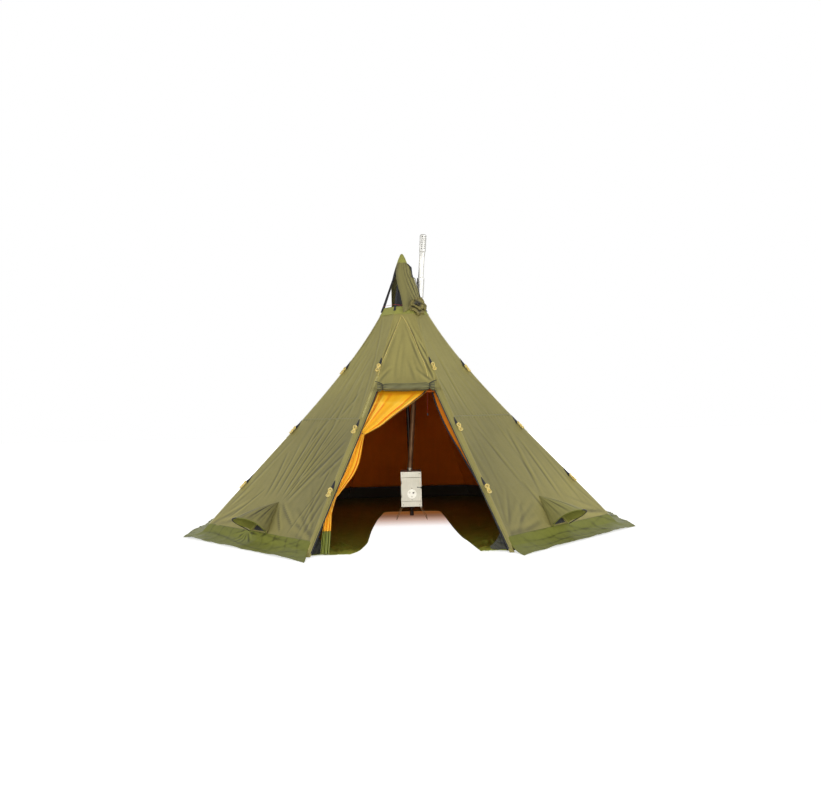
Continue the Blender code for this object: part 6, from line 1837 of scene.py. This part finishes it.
pale_stay = moulded("pale_stay_plastic", linear(205, 205, 200), 0.35)
for name, side in (("left", 7), ("right", 1)):
    laid, hidden = hood_grid(side)
    # the left hood takes the darker cap cloth: painted shade on that side
    hood = surface(
        f"hood_{name}", laid, cap_cloth if side == 7 else hood_cloth, away_from=(0, 0, 0.0),
        folds=hidden,
    )
    thicken(hood, CLOTH)
    wear(hood, "tent", "canvas", f"vent_hood_{name}")
    lining = surface(
        f"hood_lining_{name}", hood_grid(side, 0.006, 0.004)[0][34:], lime_cloth,
        away_from=(0, 0, 0.0),
    )
    thicken(lining, 0.0008)
    wear(lining, "tent", "lime")
    turn = np.linspace(0.02, math.pi - 0.02, 90)[:: 1 if side == 7 else -1]
    bound = tube(f"hood_edge_{name}", hood_arch(side, turn[:44]), 0.0046, dark_edge, 8)
    wear(bound, "tent", "webbing")
    hemmed = tube(f"hood_hem_{name}", hood_arch(side, turn[43:]), 0.0044, skirt_cloth, 8)
    wear(hemmed, "tent", "canvas")
    share = np.linspace(0, 1, 20)[:, None]
    across = np.linspace(-1, 1, 30)[None, :]
    height = 0.135 + 0.16 * share
    shift = -0.04 if side == 1 else 0.04
    net = on_wall(side, shift + across * 0.1 * np.sqrt(1 - 0.92 * share**2), height, 0.0003)
    vent = surface(f"vent_net_{name}", net, mesh_cloth, away_from=(0, 0, 0.0))
    thicken(vent, 0.0006, 1.0)
    wear(vent, "tent", "mesh")
    dress(f"vent_stay_{name}", pale_stay)
print("hoods stand out", HOOD_OUT, "m")

# %% [markdown]
# ## Free cords
#
# Two pale cords tie the cap's point down over the gable, a red drawcord runs along the
# rim, and a red pull cord with a toggle hangs inside the doorway. The pale cords and the
# pull cord lie where their plain stand-ins lie. The drawcord has no stand-in.

# %% Lay the free cords
CAP_CORD = 0.0035
gable_lift = CAP_CORD * 0.68 + 0.0022
knot = (-0.028, 2.335)
routes = {
    "left": [knot, (-0.062, 2.25), (-0.13, 2.08), (-0.2, 1.9), (-0.262, 1.75), (-0.292, 1.62)],
    "right": [knot, (0.02, 2.25), (0.09, 2.08), (0.15, 1.9), (0.205, 1.75), (0.232, 1.62)],
}
for name, route in routes.items():
    shift = -0.004 if name == "left" else 0.004
    points = smooth_path([(x + shift, 0.0, z) for x, z in route], 60)
    x, z = points[:, 0], points[:, 2]
    path = on_side(0, x, z, np.maximum(gable_out(x, z), -0.004) + gable_lift)
    cord = tube(f"cap_tie_{name}", path, CAP_CORD / 2, guy_cord, 8)
    wear(cord, "tent", "cord", f"cap_cord_{name}")
    print("cap cord", name, round(path_length(path), 2), "m")

PULL_CORD = 0.003
y = -float(inner_ridge(INNER_DOOR_TOP)) * math.cos(HALF) + 0.0009
top = INNER_DOOR_TOP - 0.0018
route = [
    (0.225, y, top), (0.225, y, top - 0.02), (0.224, y + 0.002, top - 0.07),
    (0.223, y + 0.003, top - 0.13), (0.223, y + 0.003, top - 0.22),
]
path = smooth_path(route, 60)
cord = tube("pull_cord_red", path, PULL_CORD / 2, red_cord, 8)
wear(cord, "tent", "red", "pull_cord")

share = np.linspace(0, 1, 50)
corner = np.array([0, -(float(ridge(2.455)) + 0.012), 2.474]) @ ridge_turn(7)
middle = np.array([-0.005, -(float(ridge(2.455)) * math.cos(HALF) + 0.012), 2.468])
first = np.array([0, -(float(ridge(2.455)) + 0.012), 2.474]) @ ridge_turn(6)
path = corner + share[:, None] * (middle - corner) - (0.006 * np.sin(math.pi * share))[:, None] * UP
path = smooth_path(np.concatenate([np.linspace(first, corner, 12, endpoint=False), path[::5]]), 80)
cord = tube("rim_drawcord", path, 0.0018, red_cord, 6)
wear(cord, "tent", "red")

# %% [markdown]
# ## Small things on the stove
#
# The stove folds flat from thin sheet, so its front shows two creases, drawn as thin beads painted dark as
# shade, and a few screws.
# Each screw head is a shallow dome. So is the cap of the draught disc's black knob, and
# the latch's knob is a whole ball.

# %% Screw heads on the stove
STOVE_FRONT = -0.18


def screw(name, x, y, z, radius=0.0045):
    """A dome: the height is a quarter circle of the distance from the middle."""
    polar = np.linspace(0, math.pi / 2, 7)[:, None]
    turn = np.linspace(0, 2 * math.pi, 20, endpoint=False)[None, :]
    dome = grid_of(
        x + radius * np.sin(polar) * np.cos(turn), y - 0.0022 * np.cos(polar) + 0 * turn,
        z + radius * np.sin(polar) * np.sin(turn),
    )
    made = surface(name, dome, pole_metal, wrap=True, merge=True)
    thicken(made, 0.0008)
    return made


for number, (x, z, y, body) in enumerate((
    (0.04, 0.361 + 0.006, STOVE_FRONT - 0.0033, "door"), (0.04, 0.237, STOVE_FRONT - 0.0033, "door"),
    (-0.06, 0.535, STOVE_FRONT - 0.0003, "tent"), (0.128, 0.535, STOVE_FRONT - 0.0003, "tent"),
    (-0.06, 0.178, STOVE_FRONT - 0.0003, "tent"), (0.128, 0.178, STOVE_FRONT - 0.0003, "tent"),
)):
    wear(screw(f"stove_screw_{number}", x, y, z), body, "titanium")
STOVE_LEFT, STOVE_RIGHT = 0.034 - 0.1175, 0.034 + 0.1175
# painted shade: the creases are thin beads with a dark finish where the groove's shade falls
painted_shade_groove = sheet_metal(
    "painted_shade_stove_crease", linear(120, 108, 84), linear(80, 68, 48), 0.6, (60.0, 60.0, 60.0), 0.2, 0.6
)
for name, level in (("upper", 0.491), ("lower", 0.2195)):
    x = np.linspace(STOVE_LEFT + 0.003, STOVE_RIGHT - 0.003, 40)
    bead = np.stack([x, 0 * x + STOVE_FRONT - 0.0006, level + 0.0008 * np.sin(30 * x)], 1)
    made = tube(f"stove_crease_{name}", bead, 0.0022, painted_shade_groove, 8)
    wear(made, "tent", "titanium")
low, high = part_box("draught_disc")
turn = np.linspace(0, 2 * math.pi, 24, endpoint=False)[None, :]
polar = np.linspace(0, math.pi / 2, 8)[:, None]
cap_of_knob = grid_of(
    0.055 + 0.0085 * np.sin(polar) * np.cos(turn), low[1] - 0.0005 - 0.004 * np.cos(polar) + 0 * turn,
    0.316 + 0.0085 * np.sin(polar) * np.sin(turn),
)
handle = grid_of(
    0.1475 + 0.009 * np.sin(polar * 2) * np.cos(turn), low[1] - 0.004 - 0.009 * np.cos(polar * 2) + 0 * turn,
    0.373 + 0.009 * np.sin(polar * 2) * np.sin(turn),
)
latch_knob = surface("latch_knob", handle, black_plastic, wrap=True, merge=True)
wear(latch_knob, "latch", "plastic")
knob = surface("disc_knob_cap", cap_of_knob, black_plastic, wrap=True, merge=True)
thicken(knob, 0.0008)
wear(knob, "disc", "plastic")
print("screws are in")

# %% [markdown]
# ## Studio
#
# The photograph shows the tent cut out on white. A pale floor and a white world do the
# same, and the floor keeps a soft shadow. Light comes from large soft lamps and from the
# world at a plain level, so a colour renders about as it is written.

# %% Floor, world and lamps
ground = bpy.data.meshes.new("studio_floor")
size = 30.0
square = [(size * x, size * y, -0.0005) for x, y in ((-1, -1), (1, -1), (1, 1), (-1, 1))]
ground.from_pydata(square, [], [(0, 1, 2, 3)])
studio_floor = bpy.data.objects.new("studio_floor", ground)
bpy.context.scene.collection.objects.link(studio_floor)
pale = new_finish("pale_floor", (0.8, 0.8, 0.8), 0.9)


def picture_rays(made):
    """1 for rays from the camera or from a mirror image, else 0."""
    seen = add(made, "ShaderNodeLightPath").outputs
    return calculate(made, "MAXIMUM", seen["Is Camera Ray"], seen["Is Glossy Ray"])


either = picture_rays(pale)
# the floor glows a little for the camera; inside the tent its colour is a painted orange-brown shade
# and its glow a painted orange light from the cloth
where = over(pale, "object")
split = add(pale, "ShaderNodeSeparateXYZ", {0: where}).outputs
away = add(pale, "ShaderNodeVectorMath", {0: where}, operation="LENGTH").outputs["Value"]
near = spread(pale, sums(pale, (split[1], -1.0)), -0.4, 0.6)
bright = calculate(pale, "MAXIMUM", near, spread(pale, away, 1.75, 2.15))
tint = blend_colours(pale, bright, (0.2, 0.055, 0.012, 1.0), (0.8, 0.8, 0.8, 1.0))
pale.node_tree.links.new(tint, shader_of(pale).inputs["Base Color"])
hue = blend_colours(pale, bright, (1.0, 0.36, 0.09, 1.0), (1.0, 1.0, 1.0, 1.0))
outdoors = calculate(pale, "MULTIPLY", bright, spread(pale, away, 1.75, 2.15))
painted_inner_light = sums(pale, (bright, 0.34), (outdoors, -0.34))
bright = sums(pale, (bright, 0.55), (spread(pale, away, 3.0, 6.0), 0.6), (painted_inner_light, 1.0))
bright = calculate(pale, "MAXIMUM", bright, 0.2)
bright = calculate(pale, "MULTIPLY", bright, either)
glow = add(pale, "ShaderNodeEmission", {"Color": hue, "Strength": bright})
both = add(pale, "ShaderNodeAddShader", {0: shader_of(pale).outputs[0], 1: glow.outputs[0]})
pale.node_tree.links.new(both.outputs[0], pale.node_tree.nodes["Material Output"].inputs["Surface"])
ground.materials.append(pale)

world = bpy.data.worlds.new("studio")
bpy.context.scene.world = world
world.use_nodes = True
values = {"Value": picture_rays(world), "To Min": 0.28, "To Max": 1.0}
strength = add(world, "ShaderNodeMapRange", values)
background = world.node_tree.nodes["Background"]
background.inputs["Color"].default_value = (1.0, 1.0, 1.0, 1.0)
world.node_tree.links.new(strength.outputs["Result"], background.inputs["Strength"])


def soft_lamp(name, place, aim, size, power):
    light = bpy.data.lights.new(name, "AREA")
    light.shape = "RECTANGLE"
    light.size, light.size_y = size
    light.energy = power
    lamp = bpy.data.objects.new(name, light)
    turn = (Vector(aim) - Vector(place)).to_track_quat("-Z", "Y")
    lamp.matrix_world = Matrix.Translation(place) @ turn.to_matrix().to_4x4()
    bpy.context.scene.collection.objects.link(lamp)
    return lamp


soft_lamp("left_lamp", (-8.0, -5.5, 3.4), (0, -0.3, 1.0), (6.0, 4.0), 360)
soft_lamp("right_lamp", (8.0, -6.0, 3.4), (0, -0.3, 1.0), (6.0, 4.0), 420)
soft_lamp("front_lamp", (0.5, -10.5, 2.2), (0, 0.5, 1.0), (7.0, 3.0), 330)
soft_lamp("back_lamp", (0.0, 8.0, 4.5), (0, 0.3, 1.2), (6.0, 4.0), 300)
bpy.context.scene.view_settings.view_transform = "Standard"
print("studio is lit")
